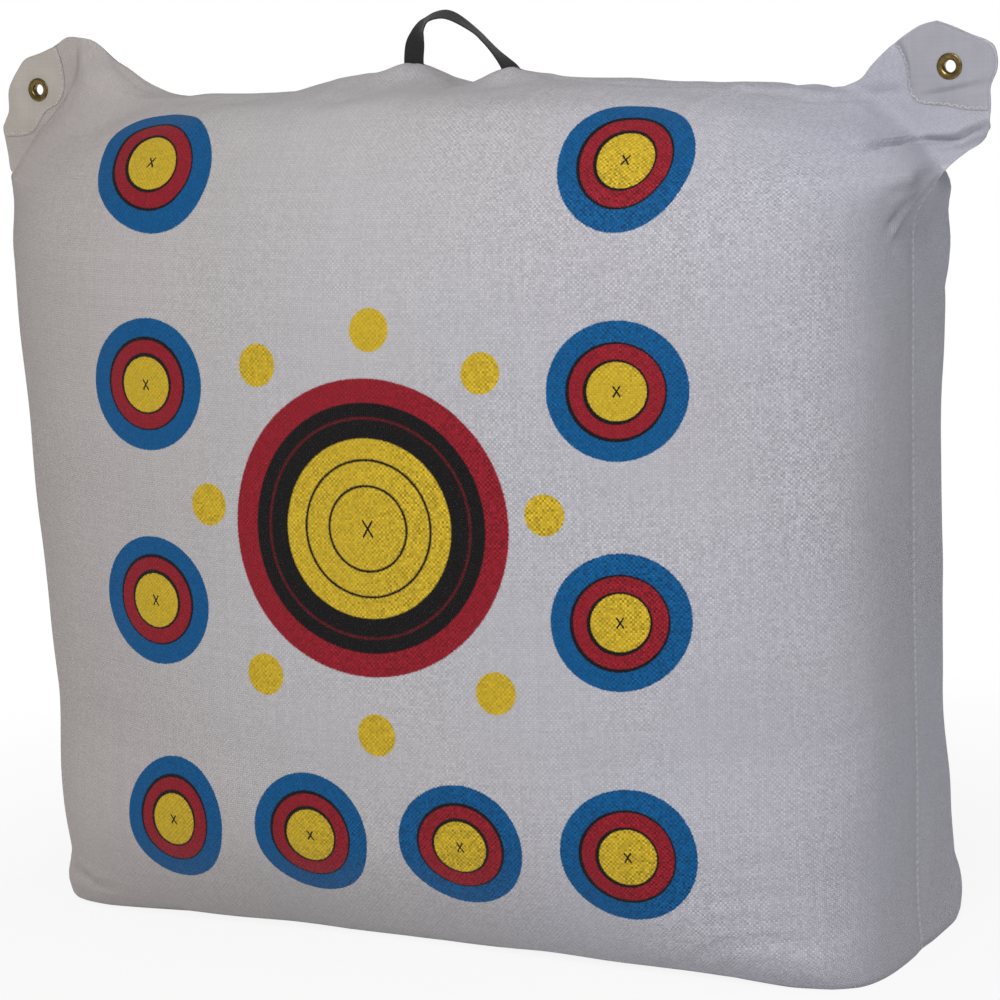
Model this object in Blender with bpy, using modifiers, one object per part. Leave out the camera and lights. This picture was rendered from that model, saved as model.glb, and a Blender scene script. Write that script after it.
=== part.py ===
"""Bag target: a stuffed woven-plastic range bag with two grommeted corner ears.

World frame: metres, +Z up, the printed front faces -Y, the origin is the middle
of the flat base. The front and back panels of the cover meet in a seam that
lies in the XZ plane at mid depth.
"""

import math

import bmesh
import bpy
from mathutils import Vector

# Body, measured over the filled cover
BODY_WIDTH = 0.788          # between the side seams
BODY_DEPTH = 0.400          # over the crown of both panels
RIDGE_HEIGHT = 0.711        # top seam above the base, at its middle
RIDGE_SAG = 0.007           # how much lower the top seam is at the ears
BASE_WIDTH = 0.752          # flat underside, along X
BASE_DEPTH = 0.224          # flat underside, along Y
BELLY_HEIGHT = 0.260        # where the panel has swelled to its full depth
SHOULDER_START = 0.360      # where the panel starts to fall back to the ridge
SIDE_SWELL_HEIGHT = 0.150   # where the side reaches its full width
CROWN_EXPONENT = 1.95       # roundness of the printed face, across
SIDE_EXPONENT = 4.10        # flatness of the side wall, front to back
NECK_EXPONENT = 2.30        # the same near the ears, where the side is pinched
FOOT_EXPONENT = 2.30        # roundness of the bottom edge
SHOULDER_RISE_EXPONENT = 8.0
SHOULDER_FALL_EXPONENT = 1.7

# Ear roots, in the seam plane
ROOT_TOP_X = 0.338
ROOT_BOTTOM_X = 0.410
ROOT_BOTTOM_Z = 0.634
NECK_START_Z = 0.545        # the side seam starts to lean out here

# Cloth and fill
COVER_THICKNESS = 0.0010
LINER_THICKNESS = 0.0008
CLOTH_CLEARANCE = 0.0006    # between cover, liner and fill
SEAM_GAP = 0.0003           # between the two panels at the seam
CORE_THICKNESS = 0.100      # all the woven stopping layers together
CORE_LAYERS = 4
LAYER_GAP = 0.0003
GRID_ACROSS = 24            # cells from side seam to side seam
BASE_ROWS = 3               # rows of cells on the flat underside
SIDE_ROWS = 13              # from the base up to the ears' lower corners
ROOT_ROWS = 4               # along an ear's root
RIDGE_ROWS = 2              # that end on the top seam itself
RIDGE_RETURN = 0.045        # length of top seam that those rows end on

# Handle webbing
WEBBING_WIDTH = 0.020
WEBBING_THICKNESS = 0.0016
HANDLE_SPACING = 0.092      # between the middles of the two legs
HANDLE_PEAK = 0.018         # how far the seam is pulled up at each leg
HANDLE_PEAK_REACH_X = 0.034
HANDLE_PEAK_REACH_Y = 0.030
HANDLE_LOOP_HEIGHT = 0.041  # from the hinge line to the middle of the webbing
HANDLE_LEAN = -0.017        # the loop's highest point, along X
HANDLE_SAG = 0.13           # the right run hangs lower than the left
HANDLE_TWIST = math.radians(76.0)
HANDLE_SEGMENTS = 26
HINGE_LIFT = 0.0020         # hinge line above the seam's peak
TAIL_TOP_GAP = 0.0001       # sewn-in end below the hinge line
LOOP_END_GAP = 0.00085      # loose loop above the hinge line
TAIL_DEPTH = 0.0145         # how far the sewn-in end reaches below the peak
SLOT_CLEARANCE = 0.0003     # between the webbing and the panels it passes

# Ears
EAR_PLY_THICKNESS = 0.0005
EAR_PATCH_THICKNESS = 0.0005
EAR_LAYER_GAP = 0.0003
EAR_HINGE_OFFSET = 0.0005   # hinge line outside the panels' root edge
EAR_ROOT_GAP = 0.00045      # root edge of the plies outside the hinge line
EAR_REACH = 0.100           # how far the ear stands out from its root
EAR_EDGE_STEPS = 4
GROMMET_ALONG = 0.46        # share of the root's length, from its lower end
GROMMET_REACH = 0.69        # share of the ear's reach

# Free edge of an ear: share of the root's length, share of the reach
EAR_EDGE = [
    (1.00, 0.00), (0.97, 0.27), (0.95, 0.48), (0.90, 0.72), (0.80, 0.88), (0.53, 0.98),
    (0.31, 1.02), (0.22, 0.96), (0.15, 0.82), (0.00, 0.66), (-0.09, 0.50), (-0.07, 0.26),
    (0.00, 0.00),
]
# The patch takes the free edge from its third point to its tenth, then a square inner corner
PATCH_EDGE = EAR_EDGE[2:10] + [(0.16, 0.53), (0.32, 0.40), (0.46, 0.30), (0.62, 0.33), (0.78, 0.41)]

# Grommets
GROMMET_OUTER = 0.0206
GROMMET_BORE = 0.0098
GROMMET_WALL = 0.0006
GROMMET_FLANGE = 0.0012
GROMMET_LIP = 0.0008        # thickness of the washer, and of the clenched lip
GROMMET_LIP_WIDTH = 0.0016
CLAMP_GAP = 0.0003
HOLE_CLEARANCE = 0.0003
TURN_STEPS = 28

HINGE_Z = RIDGE_HEIGHT + HANDLE_PEAK + HINGE_LIFT
PROFILE_STEPS = 400         # fine steps before a curve is read at even spacing
RIM_STRETCH_LIMIT = 0.5     # least cosine allowed for a rim point's tilt


def clear_scene():
    """Remove whatever the scene holds."""
    for item in list(bpy.data.objects):
        bpy.data.objects.remove(item, do_unlink=True)


def new_collection(name):
    """Add a collection under the scene's own."""
    collection = bpy.data.collections.new(name)
    bpy.context.scene.collection.children.link(collection)
    return collection


def new_material(name, colour, roughness, metallic=0.0):
    """Add a Principled material."""
    material = bpy.data.materials.new(name)
    material.use_nodes = True
    shader = material.node_tree.nodes["Principled BSDF"]
    shader.inputs["Base Color"].default_value = (*colour, 1.0)
    shader.inputs["Roughness"].default_value = roughness
    shader.inputs["Metallic"].default_value = metallic
    material.diffuse_color = (*colour, 1.0)
    return material


def lerp(start, end, share):
    """Value at a share of the way from start to end."""
    return start + (end - start) * share


def ease(low, high, value):
    """Smooth 0 to 1 as value goes from low to high."""
    share = min(max((value - low) / (high - low), 0.0), 1.0)
    return share * share * (3.0 - 2.0 * share)


def evenly_spaced(points, count):
    """Read count + 1 points at even lengths along a fine polyline."""
    lengths = [0.0]
    for first, second in zip(points, points[1:]):
        lengths.append(lengths[-1] + math.dist(first, second))
    spaced = []
    index = 0
    for step in range(count + 1):
        target = lengths[-1] * step / count
        while index < len(points) - 2 and lengths[index + 1] < target:
            index += 1
        run = lengths[index + 1] - lengths[index]
        share = (target - lengths[index]) / run if run > 0.0 else 0.0
        first, second = points[index], points[index + 1]
        spaced.append(tuple(lerp(a, b, share) for a, b in zip(first, second)))
    return spaced


# Body surface

def half_depth(height):
    """Half depth of the body on its centre section."""
    foot = BASE_DEPTH / 2.0
    crown = BODY_DEPTH / 2.0
    if height <= BELLY_HEIGHT:
        down = (1.0 - height / BELLY_HEIGHT) ** FOOT_EXPONENT
        return lerp(foot, crown, (1.0 - down) ** (1.0 / FOOT_EXPONENT))
    rise = max((height - SHOULDER_START) / (RIDGE_HEIGHT - SHOULDER_START), 0.0)
    fall = max(1.0 - rise ** SHOULDER_RISE_EXPONENT, 0.0)
    return crown * fall ** (1.0 / SHOULDER_FALL_EXPONENT)


def half_width(height):
    """Half width of the seam's outline, up to the ears' lower corners."""
    if height <= NECK_START_Z:
        side = ease(0.0, SIDE_SWELL_HEIGHT, height)
        return lerp(BASE_WIDTH, BODY_WIDTH, side) / 2.0
    lean = ((height - NECK_START_Z) / (ROOT_BOTTOM_Z - NECK_START_Z)) ** 2
    return lerp(BODY_WIDTH / 2.0, ROOT_BOTTOM_X, lean)


def ridge_height(x):
    """Height of the top seam, without the pull of the handle."""
    return RIDGE_HEIGHT - RIDGE_SAG * (x / ROOT_TOP_X) ** 2


def climb(low, high, ends=1):
    """Heights from low to high, closer together near one end or both."""
    steps = [step / PROFILE_STEPS for step in range(PROFILE_STEPS + 1)]
    if ends == 1:
        return [lerp(low, high, math.sin(share * math.pi / 2.0) ** 2) for share in steps]
    return [lerp(low, high, 1.0 - (1.0 - share) ** 3) for share in steps]


def joined_rows(*stretches):
    """Evenly spaced points along each stretch, given as a fine polyline and a count of cells."""
    points = [stretches[0][0][0]]
    for fine, count in stretches:
        points += evenly_spaced(fine, count)[1:]
    return points


def centre_profile():
    """Depth and height of each row on the centre section."""
    foot = BASE_DEPTH / 2.0
    base = [(0.0, 0.0), (foot, 0.0)]
    side = [(half_depth(z), z) for z in climb(0.0, ROOT_BOTTOM_Z)]
    shoulder = [(half_depth(z), z) for z in climb(ROOT_BOTTOM_Z, RIDGE_HEIGHT, ends=2)]
    return joined_rows((base, BASE_ROWS), (side, SIDE_ROWS), (shoulder, ROOT_ROWS + RIDGE_ROWS))


def seam_outline():
    """Half width and height of each row's end, round the seam that the panels meet in."""
    corner = (BASE_WIDTH / 2.0, 0.0)
    top = (ROOT_TOP_X, ridge_height(ROOT_TOP_X))
    base = [(BASE_WIDTH / 2.0 - BASE_DEPTH / 2.0, 0.0), corner]
    side = [(half_width(z), z) for z in climb(0.0, ROOT_BOTTOM_Z)]
    root = [(ROOT_BOTTOM_X, ROOT_BOTTOM_Z), top]
    ends = [ROOT_TOP_X - RIDGE_RETURN * step / PROFILE_STEPS for step in range(PROFILE_STEPS + 1)]
    ridge = [(x, ridge_height(x)) for x in ends]
    return joined_rows((base, BASE_ROWS), (side, SIDE_ROWS), (root, ROOT_ROWS), (ridge, RIDGE_ROWS))


def seam_lift(x, depth):
    """How far the top seam is pulled up at a point, by the two legs of the handle."""
    lift = 0.0
    for side in (-1.0, 1.0):
        across = (x - side * HANDLE_SPACING / 2.0) / HANDLE_PEAK_REACH_X
        back = depth / HANDLE_PEAK_REACH_Y
        lift += HANDLE_PEAK * math.exp(-(across * across) * 2.0 - back * back)
    return lift


def section(across, depth, end_height):
    """Half section of the body, from one side seam round the front to the other."""
    pinch = ease(NECK_START_Z, ROOT_BOTTOM_Z, end_height)
    side_power = 2.0 / lerp(SIDE_EXPONENT, NECK_EXPONENT, pinch)
    crown_power = 2.0 / CROWN_EXPONENT
    points = []
    for step in range(PROFILE_STEPS + 1):
        angle = math.pi * (1.0 - step / PROFILE_STEPS)
        x = math.copysign(abs(math.cos(angle)) ** crown_power, math.cos(angle))
        y = max(math.sin(angle), 0.0) ** side_power
        points.append((across * x, depth * y))
    return evenly_spaced(points, GRID_ACROSS)


def dish_rows(lifted):
    """Rows of points over the front half of the body, from the bottom seam up to the ridge."""
    rows = []
    for (depth, middle_height), (across, end_height) in zip(centre_profile(), seam_outline()):
        row = []
        for x, y in section(across, depth, end_height):
            height = lerp(middle_height, end_height, (x / across) ** 2)
            lift = seam_lift(x, y) if lifted else 0.0
            row.append(Vector((x, -y, height + lift * ease(0.5, 0.85, height / RIDGE_HEIGHT))))
        rows.append(row)
    return rows


def inset_rows(rows, distance):
    """The same rows moved in by a distance; points on the seam stay in the seam plane."""
    last_row = len(rows) - 1
    last_column = len(rows[0]) - 1
    moved = []
    for r, row in enumerate(rows):
        line = []
        for c, point in enumerate(row):
            across = row[min(c + 1, last_column)] - row[max(c - 1, 0)]
            upward = rows[min(r + 1, last_row)][c] - rows[max(r - 1, 0)][c]
            normal = across.cross(upward)
            if r in (0, last_row) and c in (0, last_column):
                # both directions run along the seam here
                normal = Vector((-across.z, 0.0, across.x)) * (1.0 if r else -1.0)
            normal.normalize()
            if r in (0, last_row) or c in (0, last_column):
                flat = Vector((normal.x, 0.0, normal.z))
                normal = flat / max(flat.length_squared, RIM_STRETCH_LIMIT)
            line.append(point - normal * distance)
        moved.append(line)
    return moved


def halves(quad, left, flip):
    """Two triangles of a cell, split the same way in every nested skin so that none crosses."""
    a, b, c, d = quad
    pair = ((a, b, c), (a, c, d)) if left else ((a, b, d), (b, c, d))
    return [tuple(reversed(face)) if flip else face for face in pair]


def grid_mesh(name, rows, flip=False):
    """Open surface over rows of points."""
    count = len(rows[0])
    vertices = [point for row in rows for point in row]
    faces = []
    for row in range(len(rows) - 1):
        for column in range(count - 1):
            corner = row * count + column
            quad = (corner, corner + 1, corner + count + 1, corner + count)
            faces += halves(quad, column < count // 2, flip)
    mesh = bpy.data.meshes.new(name)
    mesh.from_pydata(vertices, [], faces)
    mesh.update()
    return mesh


def add_object(name, mesh, collection, material, parent=None):
    """Put a mesh in the scene as a named sub-part."""
    item = bpy.data.objects.new(name, mesh)
    collection.objects.link(item)
    if material is not None:
        mesh.materials.append(material)
    if parent is not None:
        item.parent = parent
        item.matrix_parent_inverse = parent.matrix_world.inverted()
    return item


def seam_part(x):
    """How far each panel's top edge stands back from the seam, to let the webbing through."""
    room = WEBBING_THICKNESS / 2.0 + SLOT_CLEARANCE - SEAM_GAP / 2.0
    pitch = 2.0 * ROOT_TOP_X / GRID_ACROSS
    beyond = abs(abs(x) - HANDLE_SPACING / 2.0) - WEBBING_WIDTH / 2.0 - pitch
    return room * (1.0 - ease(0.0, pitch, beyond))


def place_rows(rows, back, parted=False):
    """Keep the rows in front of the seam plane, or turn them round to the back."""
    sign = -1.0 if back else 1.0
    placed = [[(point.x, sign * (point.y - SEAM_GAP / 2.0), point.z) for point in row] for row in rows]
    if parted:
        placed[-1] = [(x, y - sign * seam_part(x), z) for x, y, z in placed[-1]]
    return placed


def shell_mesh(name, outer, inner, flip):
    """Closed shell between two skins, with a strip along the rim of the two."""
    shape = bmesh.new()
    skins = []
    for rows, turned in ((outer, flip), (inner, not flip)):
        verts = [[shape.verts.new(point) for point in row] for row in rows]
        for low, high in zip(verts, verts[1:]):
            for column, quad in enumerate(zip(low, low[1:], high[1:], high)):
                for corners in halves(quad, column < len(low) // 2, turned):
                    shape.faces.new(corners)
        skins.append(verts)
    rims = []
    for verts in skins:
        right = [row[-1] for row in verts[1:-1]]
        left = [row[0] for row in reversed(verts[1:-1])]
        rims.append(verts[0] + right + list(reversed(verts[-1])) + left)
    outside, inside = rims
    for index in range(len(outside)):
        after = (index + 1) % len(outside)
        corners = (outside[index], inside[index], inside[after], outside[after])
        shape.faces.new(tuple(reversed(corners)) if flip else corners)
    mesh = bpy.data.meshes.new(name)
    shape.to_mesh(mesh)
    shape.free()
    return mesh


def solidify(item, thickness, offset=-1.0):
    """Give an open surface its thickness."""
    shell = item.modifiers.new("thickness", "SOLIDIFY")
    shell.thickness = thickness
    shell.offset = offset
    shell.use_even_offset = True
    return shell


def smooth(item, angle=math.radians(40.0)):
    """Shade smooth, with sharp edges kept."""
    item.data.shade_smooth()
    item.data.set_sharp_from_angle(angle=angle)


def guide(item):
    """Mark an object as a cutter or guide."""
    item.hide_render = True
    item.display_type = "WIRE"


def box_mesh(name, low, high):
    """Box between two corners, from a cube."""
    mesh = bpy.data.meshes.new(name)
    shape = bmesh.new()
    bmesh.ops.create_cube(shape, size=1.0)
    size = [b - a for a, b in zip(low, high)]
    middle = [(a + b) / 2.0 for a, b in zip(low, high)]
    bmesh.ops.scale(shape, vec=size, verts=shape.verts)
    bmesh.ops.translate(shape, vec=middle, verts=shape.verts)
    shape.to_mesh(mesh)
    shape.free()
    return mesh


def make_panel(name, inset, thickness, back, holds_handle, collection, material):
    """One panel of the cover or liner, a dish open at the seam."""
    base = dish_rows(holds_handle)
    outer = place_rows(inset_rows(base, inset), back, holds_handle)
    inner = place_rows(inset_rows(base, inset + thickness), back, holds_handle)
    item = add_object(name, shell_mesh(name, outer, inner, back), collection, material)
    smooth(item)


def make_fill(collection, cutters, fibre, woven):
    """Fibre fill in front of and behind a core of woven layers."""
    inset = COVER_THICKNESS + LINER_THICKNESS + 2.0 * CLOTH_CLEARANCE
    rows = inset_rows(dish_rows(False), inset)
    form = bmesh.new()
    for sign in (1.0, -1.0):
        side = [[(point.x, sign * point.y, point.z) for point in row] for row in rows]
        form.from_mesh(grid_mesh("fill_side", side, flip=sign < 0.0))
    bmesh.ops.remove_doubles(form, verts=form.verts, dist=1e-6)
    mesh = bpy.data.meshes.new("fill_form")
    form.to_mesh(mesh)
    form.free()
    fill_form = add_object("fill_form", mesh, cutters, None)
    guide(fill_form)

    reach = BODY_DEPTH
    core_half = CORE_THICKNESS / 2.0
    slabs = [("fill_front_batt", -reach, -core_half, fibre)]
    pitch = (CORE_THICKNESS - LAYER_GAP) / CORE_LAYERS
    for index in range(CORE_LAYERS):
        start = -core_half + LAYER_GAP + index * pitch
        slabs.append((f"core_layer_{index + 1}", start, start + pitch - LAYER_GAP, woven))
    slabs.append(("fill_rear_batt", core_half, reach, fibre))
    for name, front, rear, material in slabs:
        mesh = box_mesh(name, (-BODY_WIDTH, front, -BODY_DEPTH), (BODY_WIDTH, rear, 2.0 * RIDGE_HEIGHT))
        item = add_object(name, mesh, collection, material)
        keep = item.modifiers.new("body shape", "BOOLEAN")
        keep.operation = "INTERSECT"
        keep.solver = "EXACT"
        keep.object = fill_form


# Handle

def loop_point(share):
    """Middle line of the webbing loop, for share 0 at the left leg to 1 at the right."""
    angle = math.pi * (1.0 - share)
    x = HANDLE_SPACING / 2.0 * math.cos(angle) + HANDLE_LEAN * math.sin(angle) ** 2
    rise = math.sin(angle) * (1.0 - HANDLE_SAG * math.sin(2.0 * angle))
    return Vector((x, 0.0, HINGE_Z + LOOP_END_GAP + HANDLE_LOOP_HEIGHT * rise))


def make_strap(collection, material, hinge):
    """The loose loop: flat to the front at its legs, turned flat side up over the top."""
    rows = []
    for step in range(HANDLE_SEGMENTS + 1):
        share = step / HANDLE_SEGMENTS
        ahead = loop_point(min(share + 0.001, 1.0)) - loop_point(max(share - 0.001, 0.0))
        if step in (0, HANDLE_SEGMENTS):
            ahead = Vector((0.0, 0.0, 1.0 if step == 0 else -1.0))
        ahead.normalize()
        in_plane = Vector((-ahead.z, 0.0, ahead.x))
        turn = HANDLE_TWIST * ease(0.04, 0.40, min(share, 1.0 - share))
        across = in_plane * math.cos(turn) + Vector((0.0, 1.0, 0.0)) * math.sin(turn)
        middle = loop_point(share)
        rows.append([tuple(middle + across * (WEBBING_WIDTH / 2.0 * side)) for side in (-1, 0, 1)])
    item = add_object("handle_strap", grid_mesh("handle_strap", rows), collection, material, hinge)
    solidify(item, WEBBING_THICKNESS, offset=0.0)
    smooth(item)


def make_tails(collection, material):
    """The sewn-in ends of the webbing, held between the two panels."""
    top = HINGE_Z - TAIL_TOP_GAP
    bottom = RIDGE_HEIGHT + HANDLE_PEAK - TAIL_DEPTH
    for name, side in (("handle_left_tail", -1.0), ("handle_right_tail", 1.0)):
        middle = side * HANDLE_SPACING / 2.0
        low = (middle - WEBBING_WIDTH / 2.0, -WEBBING_THICKNESS / 2.0, bottom)
        high = (middle + WEBBING_WIDTH / 2.0, WEBBING_THICKNESS / 2.0, top)
        add_object(name, box_mesh(name, low, high), collection, material)


# Ears

def ear_frame():
    """Root corner, direction along the root and direction out of it, in the seam plane."""
    bottom = Vector((ROOT_BOTTOM_X, ROOT_BOTTOM_Z))
    top = Vector((ROOT_TOP_X, ridge_height(ROOT_TOP_X)))
    along = (top - bottom).normalized()
    return bottom, along, Vector((along.y, -along.x)), (top - bottom).length


def ear_place(along_share, reach_share, start):
    """Point of the right ear from its share along the root and of its reach."""
    bottom, along, out, length = ear_frame()
    return bottom + along * (length * along_share) + out * (start + EAR_REACH * reach_share)


def ear_outline(shares, start, side):
    """Flat outline with rounded free edge and the two root corners sharp."""
    points = []
    for along_share, reach_share in shares:
        place = ear_place(along_share, reach_share, start)
        points.append((side * place.x, place.y, reach_share == 0.0))
    return points


def ring_points(centre, radius):
    """Points of a round hole."""
    turns = [2.0 * math.pi * step / TURN_STEPS for step in range(TURN_STEPS)]
    return [(centre.x + radius * math.cos(a), centre.y + radius * math.sin(a)) for a in turns]


def make_flat(name, outline, hole, depth, thickness, collection, material, hinge):
    """A flat piece of cloth in the seam plane, with a round hole."""
    curve = bpy.data.curves.new(name, "CURVE")
    curve.dimensions = "2D"
    curve.fill_mode = "BOTH"
    curve.extrude = thickness / 2.0
    curve.resolution_u = EAR_EDGE_STEPS
    edge = curve.splines.new("BEZIER")
    edge.bezier_points.add(len(outline) - 1)
    for knot, (x, z, sharp) in zip(edge.bezier_points, outline):
        knot.co = (x, z, 0.0)
        knot.handle_left_type = knot.handle_right_type = "VECTOR" if sharp else "AUTO"
    edge.use_cyclic_u = True
    ring = curve.splines.new("POLY")
    ring.points.add(len(hole) - 1)
    for knot, (x, z) in zip(ring.points, hole):
        knot.co = (x, z, 0.0, 1.0)
    ring.use_cyclic_u = True
    item = add_object(name, curve, collection, material, hinge)
    item.location = (0.0, depth, 0.0)
    item.rotation_euler = (math.pi / 2.0, 0.0, 0.0)
    return item


def make_turned(name, profile, place, collection, material, hinge):
    """A ring turned round the grommet's axis, from a closed profile of radius and height."""
    mesh = bpy.data.meshes.new(name)
    count = len(profile)
    edges = [(index, (index + 1) % count) for index in range(count)]
    mesh.from_pydata([(radius, 0.0, height) for radius, height in profile], edges, [])
    item = add_object(name, mesh, collection, material, hinge)
    item.location = place
    item.rotation_euler = (math.pi / 2.0, 0.0, 0.0)
    turn = item.modifiers.new("turn", "SCREW")
    turn.angle = 2.0 * math.pi
    turn.steps = TURN_STEPS
    turn.render_steps = TURN_STEPS
    turn.use_merge_vertices = True
    turn.merge_threshold = 0.0001
    turn.use_smooth_shade = True
    return item


def make_grommet(prefix, place, stack, collection, material, hinge):
    """Flanged barrel from the front, clenched over a washer at the back."""
    bore = GROMMET_BORE / 2.0
    barrel = bore + GROMMET_WALL
    outer = GROMMET_OUTER / 2.0
    top = stack + GROMMET_FLANGE
    washer_back = -stack - GROMMET_LIP
    lip_front = washer_back - CLAMP_GAP
    lip_back = lip_front - GROMMET_LIP
    lip_outer = barrel + GROMMET_LIP_WIDTH
    bevel = GROMMET_FLANGE / 2.0
    profile = [
        (bore + bevel, top),
        (outer - bevel, top),
        (outer, top - bevel),
        (outer, stack),
        (barrel, stack),
        (barrel, lip_front),
        (lip_outer, lip_front),
        (lip_outer, lip_back + GROMMET_LIP / 3.0),
        (barrel, lip_back),
        (bore, lip_back + GROMMET_LIP / 3.0),
        (bore, top - bevel),
    ]
    make_turned(prefix + "_grommet", profile, place, collection, material, hinge)
    inner = barrel + HOLE_CLEARANCE
    washer = [(inner, -stack), (outer, -stack), (outer, washer_back), (inner, washer_back)]
    make_turned(prefix + "_grommet_washer", washer, place, collection, material, hinge)


def make_ear(prefix, side, collection, cloth, patch_cloth, brass):
    """One corner ear: two plies, a patch on each face and a grommet through them all."""
    bottom, along, out, length = ear_frame()
    middle = bottom + along * (length / 2.0) + out * EAR_HINGE_OFFSET
    hinge = bpy.data.objects.new(prefix + "_ear_hinge", None)
    collection.objects.link(hinge)
    hinge.location = (side * middle.x, 0.0, middle.y)
    bpy.context.view_layer.update()

    start = EAR_HINGE_OFFSET + EAR_ROOT_GAP
    ply = ear_outline(EAR_EDGE, start, side)
    patch = ear_outline(PATCH_EDGE, start, side)
    spot = ear_place(GROMMET_ALONG, GROMMET_REACH, start)
    spot.x *= side
    hole = ring_points(spot, GROMMET_BORE / 2.0 + GROMMET_WALL + HOLE_CLEARANCE)
    ply_depth = SEAM_GAP / 2.0 + EAR_PLY_THICKNESS / 2.0
    patch_depth = SEAM_GAP / 2.0 + EAR_PLY_THICKNESS + EAR_LAYER_GAP + EAR_PATCH_THICKNESS / 2.0
    for face, sign in (("front", -1.0), ("back", 1.0)):
        name = f"{prefix}_ear_{face}_ply"
        make_flat(name, ply, hole, sign * ply_depth, EAR_PLY_THICKNESS, collection, cloth, hinge)
        name = f"{prefix}_ear_{face}_patch"
        depth = sign * patch_depth
        make_flat(name, patch, hole, depth, EAR_PATCH_THICKNESS, collection, patch_cloth, hinge)
    stack = patch_depth + EAR_PATCH_THICKNESS / 2.0 + CLAMP_GAP
    make_grommet(prefix, (spot.x, 0.0, spot.y), stack, collection, brass, hinge)


def main():
    """Build the whole part."""
    clear_scene()
    collection = new_collection("bag_target")
    cutters = new_collection("cutters")
    cloth = new_material("woven cloth", (0.62, 0.61, 0.62), 0.60)
    lining = new_material("lining cloth", (0.55, 0.56, 0.55), 0.75)
    fibre = new_material("loose fibre", (0.42, 0.44, 0.47), 0.95)
    woven = new_material("woven layer", (0.50, 0.49, 0.45), 0.70)
    webbing = new_material("black webbing", (0.015, 0.015, 0.018), 0.70)
    patch_cloth = new_material("patch cloth", (0.70, 0.70, 0.72), 0.45)
    brass = new_material("brass", (0.45, 0.33, 0.13), 0.30, metallic=1.0)

    liner_inset = COVER_THICKNESS + CLOTH_CLEARANCE
    for face, back in (("front", False), ("back", True)):
        name = f"cover_{face}_panel"
        make_panel(name, 0.0, COVER_THICKNESS, back, True, collection, cloth)
        name = f"liner_{face}_panel"
        make_panel(name, liner_inset, LINER_THICKNESS, back, False, collection, lining)
    make_fill(collection, cutters, fibre, woven)

    hinge = bpy.data.objects.new("handle_hinge", None)
    collection.objects.link(hinge)
    hinge.location = (0.0, 0.0, HINGE_Z)
    bpy.context.view_layer.update()
    make_strap(collection, webbing, hinge)
    make_tails(collection, webbing)

    for prefix, side in (("left", -1.0), ("right", 1.0)):
        make_ear(prefix, side, collection, cloth, patch_cloth, brass)


main()
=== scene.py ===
"""Dressed model of a stuffed bag target: cover, ears, handle, grommets, fill, floor, light and camera.

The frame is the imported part's own: metres, +Z up, the printed front faces -Y, and the two
cloth panels of the cover meet in a seam that lies at mid depth, in the XZ plane.
"""

import logging
import math
from dataclasses import dataclass
from enum import Enum
from functools import reduce

import bpy
import numpy as np
from mathutils import Matrix, Vector


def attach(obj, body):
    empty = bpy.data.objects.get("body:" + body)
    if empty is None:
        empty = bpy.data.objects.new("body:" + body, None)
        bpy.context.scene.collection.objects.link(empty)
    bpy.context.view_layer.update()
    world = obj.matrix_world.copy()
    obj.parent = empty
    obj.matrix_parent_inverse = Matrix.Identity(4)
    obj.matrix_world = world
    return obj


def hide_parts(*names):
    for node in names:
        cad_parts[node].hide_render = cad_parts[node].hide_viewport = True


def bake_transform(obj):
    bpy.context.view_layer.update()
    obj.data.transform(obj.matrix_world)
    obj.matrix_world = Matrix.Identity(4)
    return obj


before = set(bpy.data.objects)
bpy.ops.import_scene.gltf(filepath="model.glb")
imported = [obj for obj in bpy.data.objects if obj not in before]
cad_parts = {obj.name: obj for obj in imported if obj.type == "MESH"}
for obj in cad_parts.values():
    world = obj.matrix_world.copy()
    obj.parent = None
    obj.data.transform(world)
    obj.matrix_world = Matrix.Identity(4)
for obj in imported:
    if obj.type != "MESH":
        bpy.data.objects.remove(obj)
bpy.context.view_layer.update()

log = logging.getLogger("bag_target")

Array = np.ndarray
Colour = tuple[float, float, float]
Pair = tuple[float, float]
Point = tuple[float, float, float]
Knots = tuple[tuple[float, ...], ...]
Socket = bpy.types.NodeSocket
Material = bpy.types.Material
ArrayPair = tuple[Array, Array]

FULL_TURN = 2.0 * math.pi


class Face(Enum):
    """The two faces of the bag, with the sign of Y that each looks towards."""

    FRONT = -1.0
    BACK = 1.0


class Side(Enum):
    """The two ends of the bag, with the sign of X that each lies on."""

    LEFT = -1.0
    RIGHT = 1.0


# Arrays and meshes


def knots(axes: int, *values: float) -> Knots:
    """Points written one after another in millimetres, as a tuple for each point in metres."""
    metres = [round(value / 1000.0, 7) for value in values]
    return tuple(tuple(metres[start : start + axes]) for start in range(0, len(metres), axes))


def unit(ways: Array) -> Array:
    """Rows brought to length 1."""
    return ways / np.linalg.norm(ways, axis=1, keepdims=True)


def ease(low: float, high: float, value: Array) -> Array:
    """Smooth 0 to 1 as value goes from low to high: 3 s squared less 2 s cubed."""
    share = np.clip((np.asarray(value, float) - low) / (high - low), 0.0, 1.0)
    return share * share * (3.0 - 2.0 * share)


def respace(curves: Array, count: int) -> Array:
    """Even spacing along many polylines at once, read at equal shares of each one's length.

    Args:
        curves: polylines as an array of (lines, points, axes).
        count: number of steps wanted along each.

    Returns:
        The same curves as an array of (lines, count + 1, axes).
    """
    runs = np.linalg.norm(np.diff(curves, axis=1), axis=2)
    lengths = np.concatenate([np.zeros((len(curves), 1)), np.cumsum(runs, axis=1)], axis=1)
    shelf = 2.0 * np.arange(len(curves))[:, None]
    known = (lengths / lengths[:, -1:] + shelf).ravel()
    wanted = (np.linspace(0.0, 1.0, count + 1)[None, :] + shelf).ravel()
    axes = [np.interp(wanted, known, curves[..., axis].ravel()) for axis in range(curves.shape[2])]
    return np.stack(axes, axis=-1).reshape(len(curves), count + 1, -1)


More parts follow.
